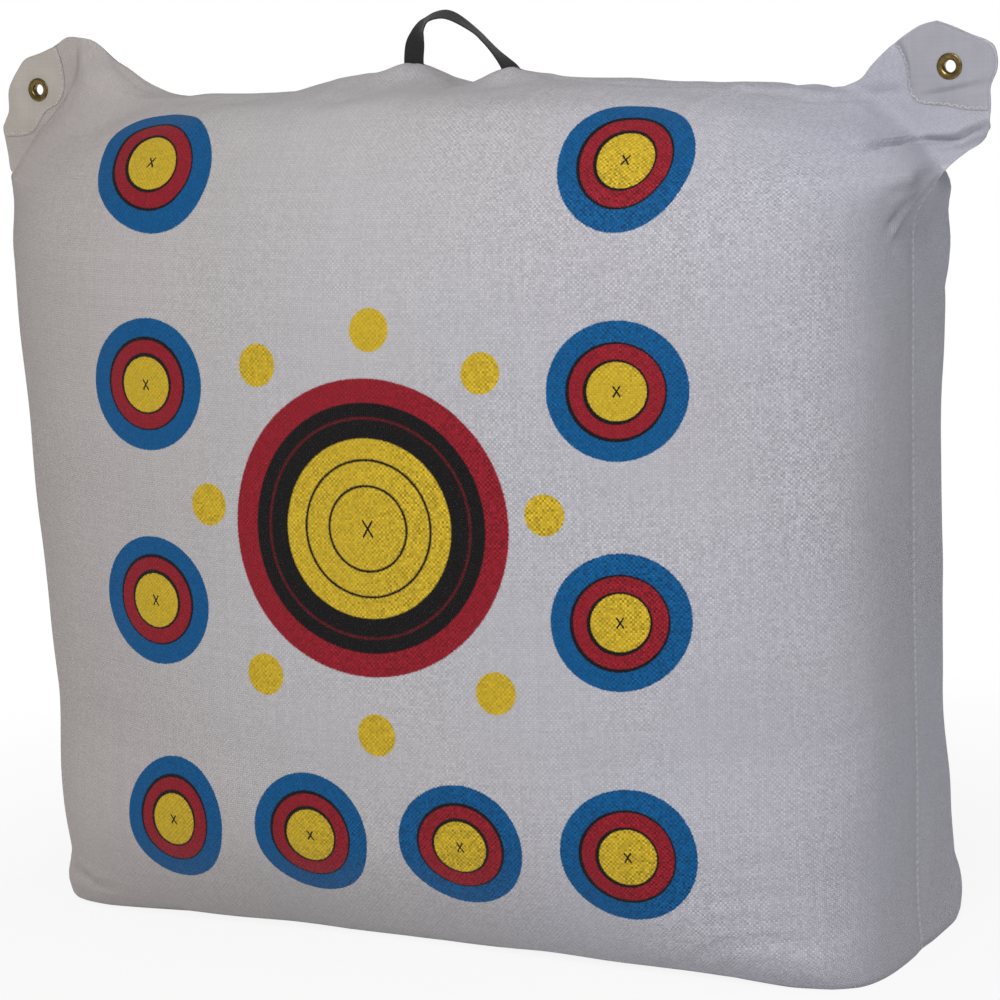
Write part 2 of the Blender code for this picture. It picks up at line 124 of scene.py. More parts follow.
def smooth_line(knots: Array, count: int) -> Array:
    """Evenly spaced points on a Catmull-Rom curve, the cubic that passes through every knot.

    Args:
        knots: points to pass through, as an array of (knots, axes).
        count: number of steps wanted.

    Returns:
        The curve as an array of (count + 1, axes).
    """
    knots = np.asarray(knots, float)
    padded = np.vstack([2.0 * knots[0] - knots[1], knots, 2.0 * knots[-1] - knots[-2]])
    travel = np.linspace(0.0, len(knots) - 1.0, 24 * len(knots) + 1)
    start = np.minimum(travel.astype(int), len(knots) - 2)
    share = (travel - start)[:, None]
    a, b, c, d = (padded[start + step] for step in range(4))
    line = 0.5 * (
        2.0 * b
        + (c - a) * share
        + (2.0 * a - 5.0 * b + 4.0 * c - d) * share**2
        + (3.0 * b - a - 3.0 * c + d) * share**3
    )
    return respace(line[None], count)[0]


def quads_of(index: Array) -> Array:
    """Quads between neighbouring rows and columns of a grid of point numbers, as an array of (quads, 4)."""
    return np.stack([index[:-1, :-1], index[:-1, 1:], index[1:, 1:], index[1:, :-1]], axis=-1).reshape(-1, 4)


def grid_faces(rows: int, columns: int, wrap: bool = False) -> Array:
    """Quads of a grid of points numbered row by row.

    Args:
        rows: number of rows of points.
        columns: number of points in a row.
        wrap: True if the last column joins the first again.

    Returns:
        Corner numbers as an array of (quads, 4).
    """
    index = np.arange(rows * columns).reshape(rows, columns)
    return quads_of(np.pad(index, ((0, 0), (0, int(wrap))), mode="wrap"))


def coons(inner: Array, outer: Array, lower: Array, upper: Array) -> Array:
    """Coons patch: each pair of facing edges blended, less the corners counted twice.

    Args:
        inner: edge at the near side, from its bottom end to its top one, as an array of (rows, 2).
        outer: edge at the far side, in the same order.
        lower: edge along the bottom, from the near side outwards, as an array of (columns, 2).
        upper: edge along the top, in the same order.

    Returns:
        Points as an array of (rows, columns, 2).
    """
    rise = np.linspace(0.0, 1.0, len(inner))[:, None, None]
    out = np.linspace(0.0, 1.0, len(lower))[None, :, None]
    inner, outer, lower, upper = inner[:, None], outer[:, None], lower[None], upper[None]
    bottom, top = ((1.0 - out) * inner[end] + out * outer[end] for end in (0, -1))
    corners = (1.0 - rise) * bottom + rise * top
    return (1.0 - out) * inner + out * outer + (1.0 - rise) * lower + rise * upper - corners


def on_face(points: Array, faces: Array, face: "Face") -> ArrayPair:
    """Points and quads made for the front, or their mirror image on the back."""
    return (points, faces) if face is Face.FRONT else (points * [1.0, -1.0, 1.0], faces[:, ::-1])


def gathered(keys: Array, values: Array, count: int) -> Array:
    """Sum of the rows of values that share each key from 0 to count - 1."""
    return np.stack([np.bincount(keys, weights=column, minlength=count) for column in values.T], axis=1)


def surface_normals(points: Array, faces: Array) -> Array:
    """Unit normal at each point: the sum of the cross products of its quads' diagonals."""
    corners = points[faces]
    facing = np.cross(corners[:, 2] - corners[:, 0], corners[:, 3] - corners[:, 1])
    total = gathered(faces.ravel(), np.repeat(facing, 4, axis=0), len(points))
    return total / np.maximum(np.linalg.norm(total, axis=1, keepdims=True), 1e-12)


def quad_edges(faces: Array) -> Array:
    """The four edges of every quad, as an array of (edges, 2)."""
    return np.concatenate([faces[:, [corner, (corner + 1) % 4]] for corner in range(4)])


def rim_edges(faces: Array) -> Array:
    """Edges that only one quad uses, in that quad's direction, as an array of (edges, 2)."""
    edges = quad_edges(faces)
    ordered = np.sort(edges, axis=1)
    keys = ordered[:, 0] * (int(faces.max()) + 1) + ordered[:, 1]
    _, first, uses = np.unique(keys, return_index=True, return_counts=True)
    return edges[first[uses == 1]]


def doubled(faces: Array, count: int) -> Array:
    """Quads of a sheet, of its turned twin whose points come count later, and of a wall round the rim."""
    rim = rim_edges(faces)
    walls = np.stack([rim[:, 1], rim[:, 0], rim[:, 0] + count, rim[:, 1] + count], axis=1)
    return np.concatenate([faces, faces[:, ::-1] + count, walls])


@dataclass
class Cloth:
    """A sheet of cloth as whole arrays: its outer surface, quads, flat chart and unit normals."""

    points: Array
    faces: Array
    chart: Array
    normals: Array

    def part(self, keep: Array) -> "Cloth":
        """The part of the sheet whose quads are kept, with the whole sheet's normals."""
        faces = self.faces[keep]
        used, packed = np.unique(faces, return_inverse=True)
        packed = packed.reshape(faces.shape)
        return Cloth(self.points[used], packed, self.chart[used], self.normals[used])

    def shell(self, thickness: float | Array) -> "Cloth":
        """Closed shell: the surface, the same moved in along its normals, and a wall round the rim."""
        count = len(self.points)
        depth = np.broadcast_to(np.asarray(thickness, float), (count,))[:, None]
        inner = self.points - self.normals * depth
        return Cloth(
            np.concatenate([self.points, inner]),
            doubled(self.faces, count),
            np.concatenate([self.chart, self.chart]),
            np.concatenate([self.normals, -self.normals]),
        )

    def piece(self, name: str, material: Material) -> bpy.types.Object:
        """Mesh object of the sheet as it is."""
        return make_piece(name, self.points, self.faces, material, self.chart, self.normals)


def make_piece(
    name: str,
    points: Array,
    faces: Array,
    material: Material,
    chart: Array | None = None,
    normals: Array | None = None,
    crease: float = 50.0,
) -> bpy.types.Object:
    """Put quads into a mesh object at the origin.

    Args:
        name: the piece's name.
        points: corners, as an array of (points, 3).
        faces: quads, as an array of (faces, 4).
        material: its finish.
        chart: flat position of each point, for a pattern that follows the surface.
        normals: unit normals to shade with; without them edges over the crease angle stay sharp.
        crease: that angle, in degrees.

    Returns:
        The new object.
    """
    mesh = bpy.data.meshes.new(name)
    mesh.vertices.add(len(points))
    mesh.vertices.foreach_set("co", np.ascontiguousarray(points, np.float32).ravel())
    mesh.loops.add(faces.size)
    mesh.loops.foreach_set("vertex_index", np.ascontiguousarray(faces, np.int32).ravel())
    mesh.polygons.add(len(faces))
    mesh.polygons.foreach_set("loop_start", np.arange(0, faces.size, 4, dtype=np.int32))
    mesh.update(calc_edges=True)
    mesh.validate()
    if chart is not None:
        layer = mesh.uv_layers.new(name="chart")
        layer.data.foreach_set("uv", chart[faces].astype(np.float32).ravel())
    mesh.materials.append(material)
    mesh.shade_smooth()
    if normals is None:
        mesh.set_sharp_from_angle(angle=math.radians(crease))
    else:
        mesh.normals_split_custom_set_from_vertices(normals.tolist())
    item = bpy.data.objects.new(name, mesh)
    bpy.context.scene.collection.objects.link(item)
    log.info("%s: %d quads", name, len(faces))
    return item


# Form of the bag


@dataclass(frozen=True)
class SeamLine:
    """The seam on one end of the bag, in its own plane, as knots of (distance from the middle, height)."""

    side: Knots
    root: Knots
    ridge: Knots


SEAMS = {
    Side.RIGHT: SeamLine(
        side=knots(2,
            389.5, 0, 386.2, 50, 387.8, 150, 388, 300, 390, 450, 392, 550, 393, 590, 398.5, 608, 410, 622.5,
            419, 634,
        ),
        root=knots(2, 419, 634, 381, 670, 338, 704),
        ridge=knots(2, 338, 704, 315, 704.9, 293, 705.8),
    ),
    Side.LEFT: SeamLine(
        side=knots(2,
            389, 0, 380, 22, 371, 55, 371, 95, 379, 160, 393, 300, 400, 420, 404.5, 490, 409.5, 550, 415, 590,
            419.5, 617, 427, 638, 438, 650,
        ),
        root=knots(2, 438, 650, 427, 666, 415, 682, 396, 703, 382, 720, 377, 736, 377.5, 750, 379.5, 761.2),
        ridge=knots(2, 379.5, 761.2, 368, 759, 357, 752.5, 343, 740.8, 329, 733, 312, 722.2, 293, 713.5),
    ),
}


@dataclass(frozen=True)
class BagForm:
    """Shape of the filled bag, in the part's own sizes, read on a fine grid."""

    depth: float = 0.400
    ridge: float = 0.711
    base_depth: float = 0.224
    belly: float = 0.260
    shoulder: float = 0.360
    crown_power: float = 1.95
    foot_crown: float = 7.0
    foot_square: float = 1.8
    foot_height: float = 0.180
    square_height: float = 0.030
    side_power: float = 4.10
    neck_power: float = 2.30
    foot_power: float = 2.30
    rise_power: float = 8.0
    fall_power: float = 1.7
    shoulder_slack: float = 0.0095
    crest: Knots = knots(2, 164, 652, 152, 671, 137.5, 688, 118, 700, 86, 707, 45, 710, 0, 711)
    root_height: float = 0.634
    neck: Pair = (0.575, 0.660)
    peak_spacing: float = 0.092
    peak_height: float = 0.018
    peak_reach: Pair = (0.034, 0.030)
    gather_reach: float = 0.060
    lift_span: Pair = (0.5, 0.85)
    left_end_power: int = 8
    left_rise_span: Pair = (0.66, 0.34)
    left_rise_power: float = 5.5
    bulge_height: float = 0.100
    bulge_span: Pair = (0.03, 0.09)
    ridge_rise: Knots = knots(2,
        -370, 0, -330, -1, -290, -1.2, -240, -0.5, -190, -1, -165, -1.2, -148, -1, -128, 4.5, -108, 9,
        -85, 11.5, -70, 8.5, -59, 5.5, -46, 1, -30, 4, -23.2, 5, -14, 3.5, -6.6, -1, 3.5, -3.2, 9, -2,
        15, -0.4, 20, -0.2, 30, -1.4, 37, -3, 54, -4.5, 72, 2.5, 108, 0, 130, -2, 165, -4, 210, -4, 250, -2.5,
        290, -4.5, 320, -3, 350, 0,
    )
    foot_bulge: Knots = knots(2,
        -380, 0, -330, -1, -250, -12, -150, -20, -50, -22, 10, -21, 50, -17, 100, -11, 200, 0, 275, 13,
        326, 26, 360, 31, 395, 26,
    )
    across: int = 220
    base_rows: int = 20
    side_rows: int = 108
    root_rows: int = 48
    ridge_rows: int = 18
    fine: int = 500

    @property
    def rows(self) -> int:
        """Number of steps from the bottom seam to the ridge."""
        return self.base_rows + self.side_rows + self.root_rows + self.ridge_rows

    @property
    def root_span(self) -> tuple[int, int]:
        """First and last row that ends on an ear's root."""
        first = self.base_rows + self.side_rows
        return first, first + self.root_rows

    def half_depth(self, height: Array) -> Array:
        """Half depth on the centre section: a rounded foot, a belly, and a shoulder that falls to the ridge."""
        foot, crown = self.base_depth / 2.0, self.depth / 2.0
        down = np.clip(1.0 - height / self.belly, 0.0, 1.0) ** self.foot_power
        low = foot + (crown - foot) * (1.0 - down) ** (1.0 / self.foot_power)
        rise = np.clip((height - self.shoulder) / (self.ridge - self.shoulder), 0.0, 1.0)
        high = crown * (1.0 - rise**self.rise_power) ** (1.0 / self.fall_power)
        slack = self.shoulder_slack * ease(0.5, self.root_height, height)
        return np.where(height <= self.belly, low, high) - slack

    def profile(self) -> Array:
        """Depth and height of each row on the centre section, as an array of (rows + 1, 2)."""
        share = np.linspace(0.0, 1.0, self.fine)
        up = self.root_height * np.sin(share * math.pi / 2.0) ** 2
        base = np.stack([share * self.base_depth / 2.0, 0.0 * share], axis=1)
        side = np.stack([self.half_depth(up), up], axis=1)
        shoulder = smooth_line(((side[-1, 0], side[-1, 1]),) + self.crest, self.fine)
        counts = (self.base_rows, self.side_rows, self.root_rows + self.ridge_rows)
        return self.joined((base, side, shoulder), counts)

    def outline(self, side: Side) -> Array:
        """Distance from the middle and height of each row's end on the seam, as an array of (rows + 1, 2)."""
        seam = SEAMS[side]
        corner = seam.side[0][0]
        base = ((corner - self.base_depth / 2.0, 0.0), (corner, 0.0))
        stretches = (base, seam.side, seam.root, seam.ridge)
        counts = (self.base_rows, self.side_rows, self.root_rows, self.ridge_rows)
        return self.joined(tuple(smooth_line(knots, self.fine) for knots in stretches), counts)

    def joined(self, stretches: tuple[Array, ...], counts: tuple[int, ...]) -> Array:
        """Stretches end to end, each with its own number of even steps."""
        runs = [respace(line[None], count)[0] for line, count in zip(stretches, counts)]
        return np.concatenate([runs[0]] + [run[1:] for run in runs[1:]])

    def seam_lift(self, x: Array, y: Array) -> Array:
        """Pull of the handle on the seam: a bell curve round each leg, and the cloth gathered beside them."""
        reach_x, reach_y = self.peak_reach
        back = (y / reach_y) ** 2
        legs = [(x - sign * self.peak_spacing / 2.0) / reach_x for sign in (-1.0, 1.0)]
        gathers = np.interp(x, *np.array(self.ridge_rise).T) * np.exp(-((y / self.gather_reach) ** 2))
        return gathers + self.peak_height * sum(np.exp(-2.0 * leg**2 - back) for leg in legs)

    def dish(self) -> Array:
        """Front half of the body: a superellipse section on each row, its ends drawn out to the seam on each side.

        Returns:
            Points as an array of (rows + 1, across + 1, 3), from the left end to the right.
        """
        depth, middle = self.profile().T[:, :, None]
        reach, end = self.outline(Side.RIGHT).T[:, :, None]
        reach_left, end_left = self.outline(Side.LEFT).T[:, :, None]
        pinch = ease(*self.neck, end)
        square = self.foot_square * (1.0 - ease(0.0, self.square_height, middle))
        side_power = 2.0 / (self.side_power + square + (self.neck_power - self.side_power) * pinch)
        crown = self.foot_crown + (self.crown_power - self.foot_crown) * ease(0.0, self.foot_height, middle) + square
        angle = math.pi * (1.0 - np.linspace(0.0, 1.0, self.fine))[None, :]
        cosine = np.cos(angle)
        x = reach * np.sign(cosine) * np.abs(cosine) ** (2.0 / crown)
        y = depth * np.clip(np.sin(angle), 0.0, 1.0) ** side_power
        plan = respace(np.stack([x, y], axis=-1), self.across)
        x, y = plan[..., 0], plan[..., 1]
        share = np.abs(x) / reach
        z = middle + (end - middle) * share**2
        left = x < 0.0
        x = x - left * (reach_left - reach) * share**self.left_end_power
        start, width = self.left_rise_span
        z = z + left * (end_left - end) * np.clip((share - start) / width, 0.0, 1.0) ** self.left_rise_power
        lift = self.seam_lift(x, y) * ease(*self.lift_span, z / self.ridge)
        low = 1.0 - ease(0.0, self.bulge_height, z)
        bulge = np.interp(x, *np.array(self.foot_bulge).T) * low * ease(*self.bulge_span, y)
        return np.stack([x, -y - bulge, z + lift], axis=-1)


FORM = BagForm()


# Cover


@dataclass(frozen=True)
class EarForm:
    """One cloth corner beyond its root on the body, as outlines in the seam's plane, from the root outwards."""

    side: Side
    lower: Knots
    outer: Knots
    upper: Knots
    hole: Pair = (0.42564, 0.71636)
    hole_radius: float = 0.0072
    steps: int = 50
    hinge: Pair = (0.37435, 0.66936)
    outward: Pair = (0.6971, 0.7170)

    def patch(self, root: Array) -> Array:
        """Flat grid over the ear.

        Args:
            root: the root line from its bottom end to its top one, as an array of (points, 2).

        Returns:
            Points as an array of (root points, steps + 1, 2), from the root outwards.
        """
        lower, upper = (
            smooth_line((tuple(root[end]),) + line, self.steps) for end, line in ((0, self.lower), (-1, self.upper))
        )
        return coons(root, smooth_line(self.outer, len(root) - 1), lower, upper)

    def spread(self, x: Array, z: Array) -> Array:
        """Distance out from the hinge line of the ear, in metres."""
        across, up = self.outward
        return (x * self.side.value - self.hinge[0]) * across + (z - self.hinge[1]) * up

    def from_hole(self, x: Array, z: Array) -> Array:
        """Distance from the middle of the grommet's hole, in metres."""
        return np.hypot(x * self.side.value - self.hole[0], z - self.hole[1])


RIGHT_EAR = EarForm(
    Side.RIGHT,
    lower=knots(2, 426, 641, 437, 650, 447.5, 656.5, 456.5, 668),
    outer=knots(2,
        456.5, 668, 458.5, 685, 458.5, 700, 463.5, 712, 464, 722, 461, 731.5, 453.5, 736.5, 443, 740.5,
        428, 747.5, 416, 752,
    ),
    upper=knots(2, 352, 708.5, 362, 719.5, 376, 732, 391, 742.5, 403, 749, 416, 752),
)

LEFT_EAR = EarForm(
    Side.LEFT,
    lower=knots(2, -450, 639.5, -461.2, 644, -464.2, 660, -466.5, 674),
    outer=knots(2,
        -466.5, 674, -467.5, 683, -463.7, 690, -458.7, 699, -457.5, 715, -453.5, 724.7, -447.4, 734.3,
        -439.2, 743.9, -422.7, 748.8, -404, 755,
    ),
    upper=knots(2, -389, 762.2, -396, 760, -404, 755),
)

EARS = {Side.LEFT: LEFT_EAR, Side.RIGHT: RIGHT_EAR}


@dataclass(frozen=True)
class Fold:
    """A crease along a line of points on the cloth: its width, its depth and the height of its shoulders.

    A positive depth sinks into the cloth and a negative one stands up from it. Lengths in metres.
    """

    line: Knots
    width: float
    depth: float
    shoulder: float
    steps: int = 28

    def lift(self, points: Array) -> Array:
        """Push along the surface at each point: a bell-shaped valley with a low bell on each side.

        Args:
            points: places on the cloth, as an array of (points, 3).

        Returns:
            Distance outwards at each point; it fades towards both ends of the line.
        """
        line = smooth_line(self.line, self.steps)
        near = np.full(len(points), np.inf)
        along = np.zeros(len(points))
        for step in range(self.steps):
            start, run = line[step], line[step + 1] - line[step]
            share = np.clip((points - start) @ run / (run @ run), 0.0, 1.0)
            gap = np.linalg.norm(points - start - share[:, None] * run, axis=1)
            along = np.where(gap < near, (step + share) / self.steps, along)
            near = np.minimum(gap, near)
        fade = np.sin(np.pi * np.clip(along, 0.02, 0.98)) ** 0.6
        valley = np.exp(-((near / self.width) ** 2))
        rim = np.exp(-(((near - 1.9 * self.width) / self.width) ** 2))
        return fade * (self.shoulder * rim - self.depth * valley)


def fold(width: float, depth: float, shoulder: float, *line: float) -> Fold:
    """A fold with its sizes and the points of its line, all in millimetres."""
    sizes = knots(3, width, depth, shoulder)[0]
    return Fold(knots(3, *line), *sizes)


EAR_CREASES = (
    fold(2.5, 7.4, 2.4,
        390, 0, 657, 407.7, 0, 659, 422.5, 0, 659, 433.2, 0, 660.5, 438.9, 0, 663.6, 447.7, 0, 666.6,
        460, 0, 671.5,
    ),
    fold(3.2, 3.6, 1, 379, 0, 739, 385, 0, 730, 388.5, 0, 720, 389.5, 0, 710, 390.3, 0, 696.5),
    fold(2.8, 2.2, 0.8, 400, 0, 693, 416.2, 0, 695, 435, 0, 698.5, 460, 0, 703.4),
    fold(4.5, 2.2, 0.8, 341.6, 0, 693.9, 358.3, 0, 694.7, 372.7, 0, 696.7, 390, 0, 698.1),
)

FOLDS = {
    Face.FRONT: (
        fold(2.9, 6.8, 2.4,
            368, -65, 656.6, 377.7, -53.6, 656.2, 382.3, -42.9, 657.9, 388.9, -28.5, 657.8,
            395.2, -12.7, 659.2, 407.7, -1.8, 660, 422.5, -1.8, 658.3,
        ),
        fold(7, -3, -1,
            243.8, -94.2, 690.1, 253.1, -67.1, 698.9, 261.8, -41.4, 705.4, 280.2, -24.5, 705.3,
            310.3, -25.9, 703.1, 333.6, -19.5, 698,
        ),
        fold(3.6, 3.2, 1.2, 315.8, -42.4, 695.5, 341.6, -21.2, 693.9, 358.3, -7, 694.7, 372.7, -1.5, 696.7),
        fold(4, 2.6, 1.2, 392.6, -73.8, 620.4, 402.9, -57.5, 625.1, 408.4, -31.3, 630.5, 412.4, -10.2, 630.9),
        fold(3.4, -4, -1.6, 388, -56, 586, 395, -42, 598, 403, -28, 613, 411, -12, 626),
        fold(5, 2, 0.8, 389.6, -58.7, 594.6, 395, -45.1, 606.2, 400.7, -45, 616.2),
        fold(4.6, 2.8, 1.2,
            266.1, -173.2, 74, 284.7, -171.4, 75.9, 303.1, -168.3, 77.9, 321, -163.2, 80, 341.6, -154, 76.5,
        ),
        fold(4.6, 2.6, 1.2,
            258.6, -169.8, 50.1, 278, -170.6, 57.6, 301.8, -168.7, 62, 327.6, -162, 63.1, 357.9, -144.6, 60.9,
        ),
        fold(4.8, 4.6, 1.8,
            249.9, -152.6, 17.9, 273.1, -164.5, 34.7, 297.3, -167, 42.5, 324, -163.3, 45.5,
            347.1, -153.2, 42.5, 369.1, -133.8, 39.3,
        ),
        fold(6, 1.2, 0.4, 294.8, -170.9, 100.7, 317.3, -164.8, 109.3, 342.9, -152.9, 106.5),
        fold(6, 4, 1.6, -363.5, -112.6, 33.5, -338.1, -133.7, 36.1, -320.6, -134.9, 28.5, -299.6, -137.7, 26.6),
        fold(10, 0.8, 0.4,
            -304.5, -23.3, 721, -278.4, -25.8, 712.5, -230.5, -53.9, 706.4, -192.8, -69.1, 704.9,
            -149.9, -84.4, 703.3,
        ),
        fold(3.6, 4.6, 2.2,
            -379, -1, 764, -379, -10, 748, -376, -20, 735, -379, -24, 720, -390, -22, 702, -406, -18, 683,
            -425, -12, 665, -445, -5, 650,
        ),
        fold(13, 2.8, 0, -435, -30, 656, -423, -58, 645, -412, -76, 635),
    ),
    Face.BACK: (
        fold(24, -9.5, 0, 400, 35, 625, 396, 55, 608, 393, 70, 585, 391, 85, 565, 389, 90, 535),
        fold(12, 11.5, 0, 427, 5, 640, 415, 28, 639, 409, 56, 637, 393, 85, 636),
        fold(17, 13.5, 0,
            -360, 8, 750, -342.7, 11, 738, -330, 17, 728, -315, 23, 720, -293.9, 33, 710, -265, 40, 707,
            -210, 45, 706,
        ),
        fold(7, 3.4, 1.2, 290, 30, 703, 330, 45, 685, 360, 55, 660),
        fold(6, 2.6, 1, -330, 150, 42, -260, 165, 50, -180, 170, 45),
        fold(6, 2.4, 1, 340, 140, 70, 280, 168, 60, 220, 174, 70),
    ),
}


WAVES, WAVES_PEAK = 14, 5.3


def drift(points: Array, length: float, seed: int) -> Array:
    """Smooth noise in about -1 to 1: a sum of sine waves in random directions, all of about one wavelength.

    Args:
        points: places, as an array of (points, 3).
        length: the wavelength.
        seed: start of the random draws.

    Returns:
        The noise at each point.
    """
    source = np.random.default_rng(seed)
    ways = unit(source.normal(size=(WAVES, 3)))
    rates = FULL_TURN / (length * source.uniform(0.7, 1.4, WAVES))
    waves = np.sin(points @ (ways * rates[:, None]).T + source.uniform(0.0, FULL_TURN, WAVES))
    return waves.sum(axis=1) / WAVES_PEAK


@dataclass
class Cover:
    """The outer bag: two cloth panels that meet in the seam, each with its two ears."""

    form: BagForm = FORM
    thickness: float = 0.0006
    ply_offset: float = 0.00075
    seam_offset: float = 0.00015
    tail_gap: float = 0.0015
    flap: Knots = knots(2, 407.7, 659, 422.5, 659, 433.2, 660.5, 438.9, 663.6, 460, 671.5)
    flap_back: float = 0.0085
    flap_rise: Pair = (-0.001, 0.008)
    flap_reach: Pair = (0.010, 0.034)
    relax_rounds: int = 60
    relax_span: Pair = (0.012, 0.055)
    relax_pull: float = 0.8
    seeds: tuple[int, int] = (11, 47)
    swells: tuple[Pair, ...] = ((0.0018, 0.260), (0.0010, 0.110), (0.0007, 0.045))
    stuffing: float = 0.0014
    wave: float = 0.0016
    wave_length: float = 0.0125
    wave_starts: Pair = (0.6, 2.2)
    calm_span: Pair = (0.011, 0.026)
    crease_span: Pair = (0.280, 0.330)
    push_reach: float = 0.022
    fold_reach: float = 0.008
    ply_x: Pair = (0.322, 0.337)
    ply_z: Pair = (0.618, 0.633)
    tail_reach: float = 0.0125
    tail_rise: Pair = (0.690, 0.705)
    lowest: float = 0.0002
    edge_reach: float = 0.060
    edge_limit: float = 1.2
    shoulder_span: Pair = (0.60, 0.70)
    wave_reach: float = 0.030
    ear_from: float = 0.3
    relax_points: int = 24
    corner_margin: float = 0.001
    cut_depth: float = 0.01
    cut_reach: float = 0.006
    corner_start: float = -0.006
    corner_end: float = 0.020

    def index(self) -> tuple[Array, Array, Array]:
        """Point numbers of the body's grid and of the left and right ear, whose roots are the body's own points."""
        form = self.form
        body = np.arange((form.rows + 1) * (form.across + 1)).reshape(form.rows + 1, form.across + 1)
        first, last = form.root_span
        count, rows = body.size, last - first + 1
        blocks = []
        for side in (Side.LEFT, Side.RIGHT):
            steps = EARS[side].steps
            fresh = count + np.arange(rows * steps).reshape(rows, steps)
            count += fresh.size
            root = body[first : last + 1, :1] if side is Side.LEFT else body[first : last + 1, -1:]
            blocks.append(np.concatenate([fresh, root] if side is Side.LEFT else [root, fresh], axis=1))
        return body, *blocks

    def flat_faces(self) -> Array:
        """Quads of the body's grid and both ears."""
        return np.concatenate([quads_of(index) for index in self.index()])

    def front_half(self) -> ArrayPair:
        """Front half of body and ears before it is relaxed, and its chart.

        The chart is the cloth's own ruler: distance along the row from the middle of the bag, and
        distance up the middle section from the bottom seam; an ear goes on from its root in flat steps.

        Returns:
            Points as an array of (points, 3) and the chart as an array of (points, 2).
        """
        form = self.form
        grid = form.dish()
        run = np.linalg.norm(np.diff(grid, axis=1), axis=2).cumsum(axis=1)
        run = np.concatenate([np.zeros((len(grid), 1)), run], axis=1)
        middle = run[:, form.across // 2][:, None]
        climb = np.linalg.norm(np.diff(form.profile(), axis=0), axis=1).cumsum()
        climb = np.concatenate([[0.0], climb])[:, None]
        chart = np.stack(np.broadcast_arrays(run - middle, climb), axis=-1)
        points = grid.reshape(-1, 3)
        first, last = form.root_span
        sheets, charts = [points], [chart.reshape(-1, 2)]
        for side, column in ((Side.LEFT, 0), (Side.RIGHT, -1)):
            root = grid[first : last + 1, column][:, [0, 2]]
            flat = EARS[side].patch(root)
            ruled = chart[first : last + 1, column][:, None] + flat - root[:, None]
            flat, ruled = flat[:, 1:], ruled[:, 1:]
            if side is Side.LEFT:
                flat, ruled = flat[:, ::-1], ruled[:, ::-1]
            flat = flat.reshape(-1, 2)
            sheets.append(np.stack([flat[:, 0], 0.0 * flat[:, 0], flat[:, 1]], axis=1))
            charts.append(ruled.reshape(-1, 2))
        return np.concatenate(sheets), np.concatenate(charts)

    def relax(self, points: Array, faces: Array) -> Array:
        """Round the crease where the body runs into its ears: each point drawn to its neighbours' mean.

        Args:
            points: the sheet, as an array of (points, 3).
            faces: its quads.

        Returns:
            The relaxed sheet. Its rim stays, and so does all that lies well away from the roots.
        """
        body = self.index()[0]
        first, last = self.form.root_span
        edges = np.unique(np.sort(quad_edges(faces), axis=1), axis=0)
        both = np.concatenate([edges, edges[:, ::-1]])
        count = np.bincount(both[:, 0], minlength=len(points))[:, None]
        weight = np.zeros(len(points))
        for column in (0, -1):
            root = points[body[first : last + 1, column]]
            line = root[0][None] + np.linspace(0.0, 1.0, self.relax_points)[:, None] * (root[-1] - root[0])[None]
            gap = np.min(np.linalg.norm(points[:, None] - line[None], axis=2), axis=1)
            weight = np.maximum(weight, 1.0 - ease(*self.relax_span, gap))
        weight[np.unique(rim_edges(faces))] = 0.0
        weight = self.relax_pull * weight[:, None]
        for _ in range(self.relax_rounds):
            mean = gathered(both[:, 0], points[both[:, 1]], len(points)) / count
            points = points + weight * (mean - points)
        return points

    def lumps(self, points: Array, face: Face) -> Array:
        """Push of the loose fill on the cloth: broad swells, with smaller ones near the seam and the shoulder."""
        seed = self.seeds[face is Face.BACK]
        (tall, far), (middle, near), (low, close) = self.swells
        broad = self.stuffing + tall * drift(points, far, seed) + middle * drift(points, near, seed + 1)
        edge = np.exp(-np.abs(points[:, 1]) / self.edge_reach) + ease(*self.shoulder_span, points[:, 2])
        return broad + low * np.clip(edge, 0.0, self.edge_limit) * drift(points, close, seed + 2)

    def drape(self, points: Array) -> Array:
        """Bend of both layers of an ear out of the seam's plane, level round the grommet."""
        shift = np.zeros(len(points))
        for side, ear in EARS.items():
            out = ear.spread(points[:, 0], points[:, 2])
            beyond, above = points[:, 0] * side.value - ear.hinge[0], points[:, 2] - ear.hinge[1]
            along = beyond * -ear.outward[1] + above * ear.outward[0]
            wave = self.wave * np.sin(along / self.wave_length + self.wave_starts[side is Side.RIGHT])
            calm = ease(*self.calm_span, ear.from_hole(points[:, 0], points[:, 2]))
            shift += wave * calm * ease(0.0, self.wave_reach, out) * (points[:, 0] * side.value > self.ear_from)
            if side is Side.RIGHT:
                crease = np.interp(points[:, 0], *np.array(self.flap).T)
                shift += self.flap_back * ease(*self.flap_rise, crease - points[:, 2]) * ease(*self.flap_reach, out)
        flat = points * [1.0, 0.0, 1.0]
        for crease in EAR_CREASES:
            shift -= crease.lift(flat) * ease(*self.crease_span, np.abs(points[:, 0]))
        return shift

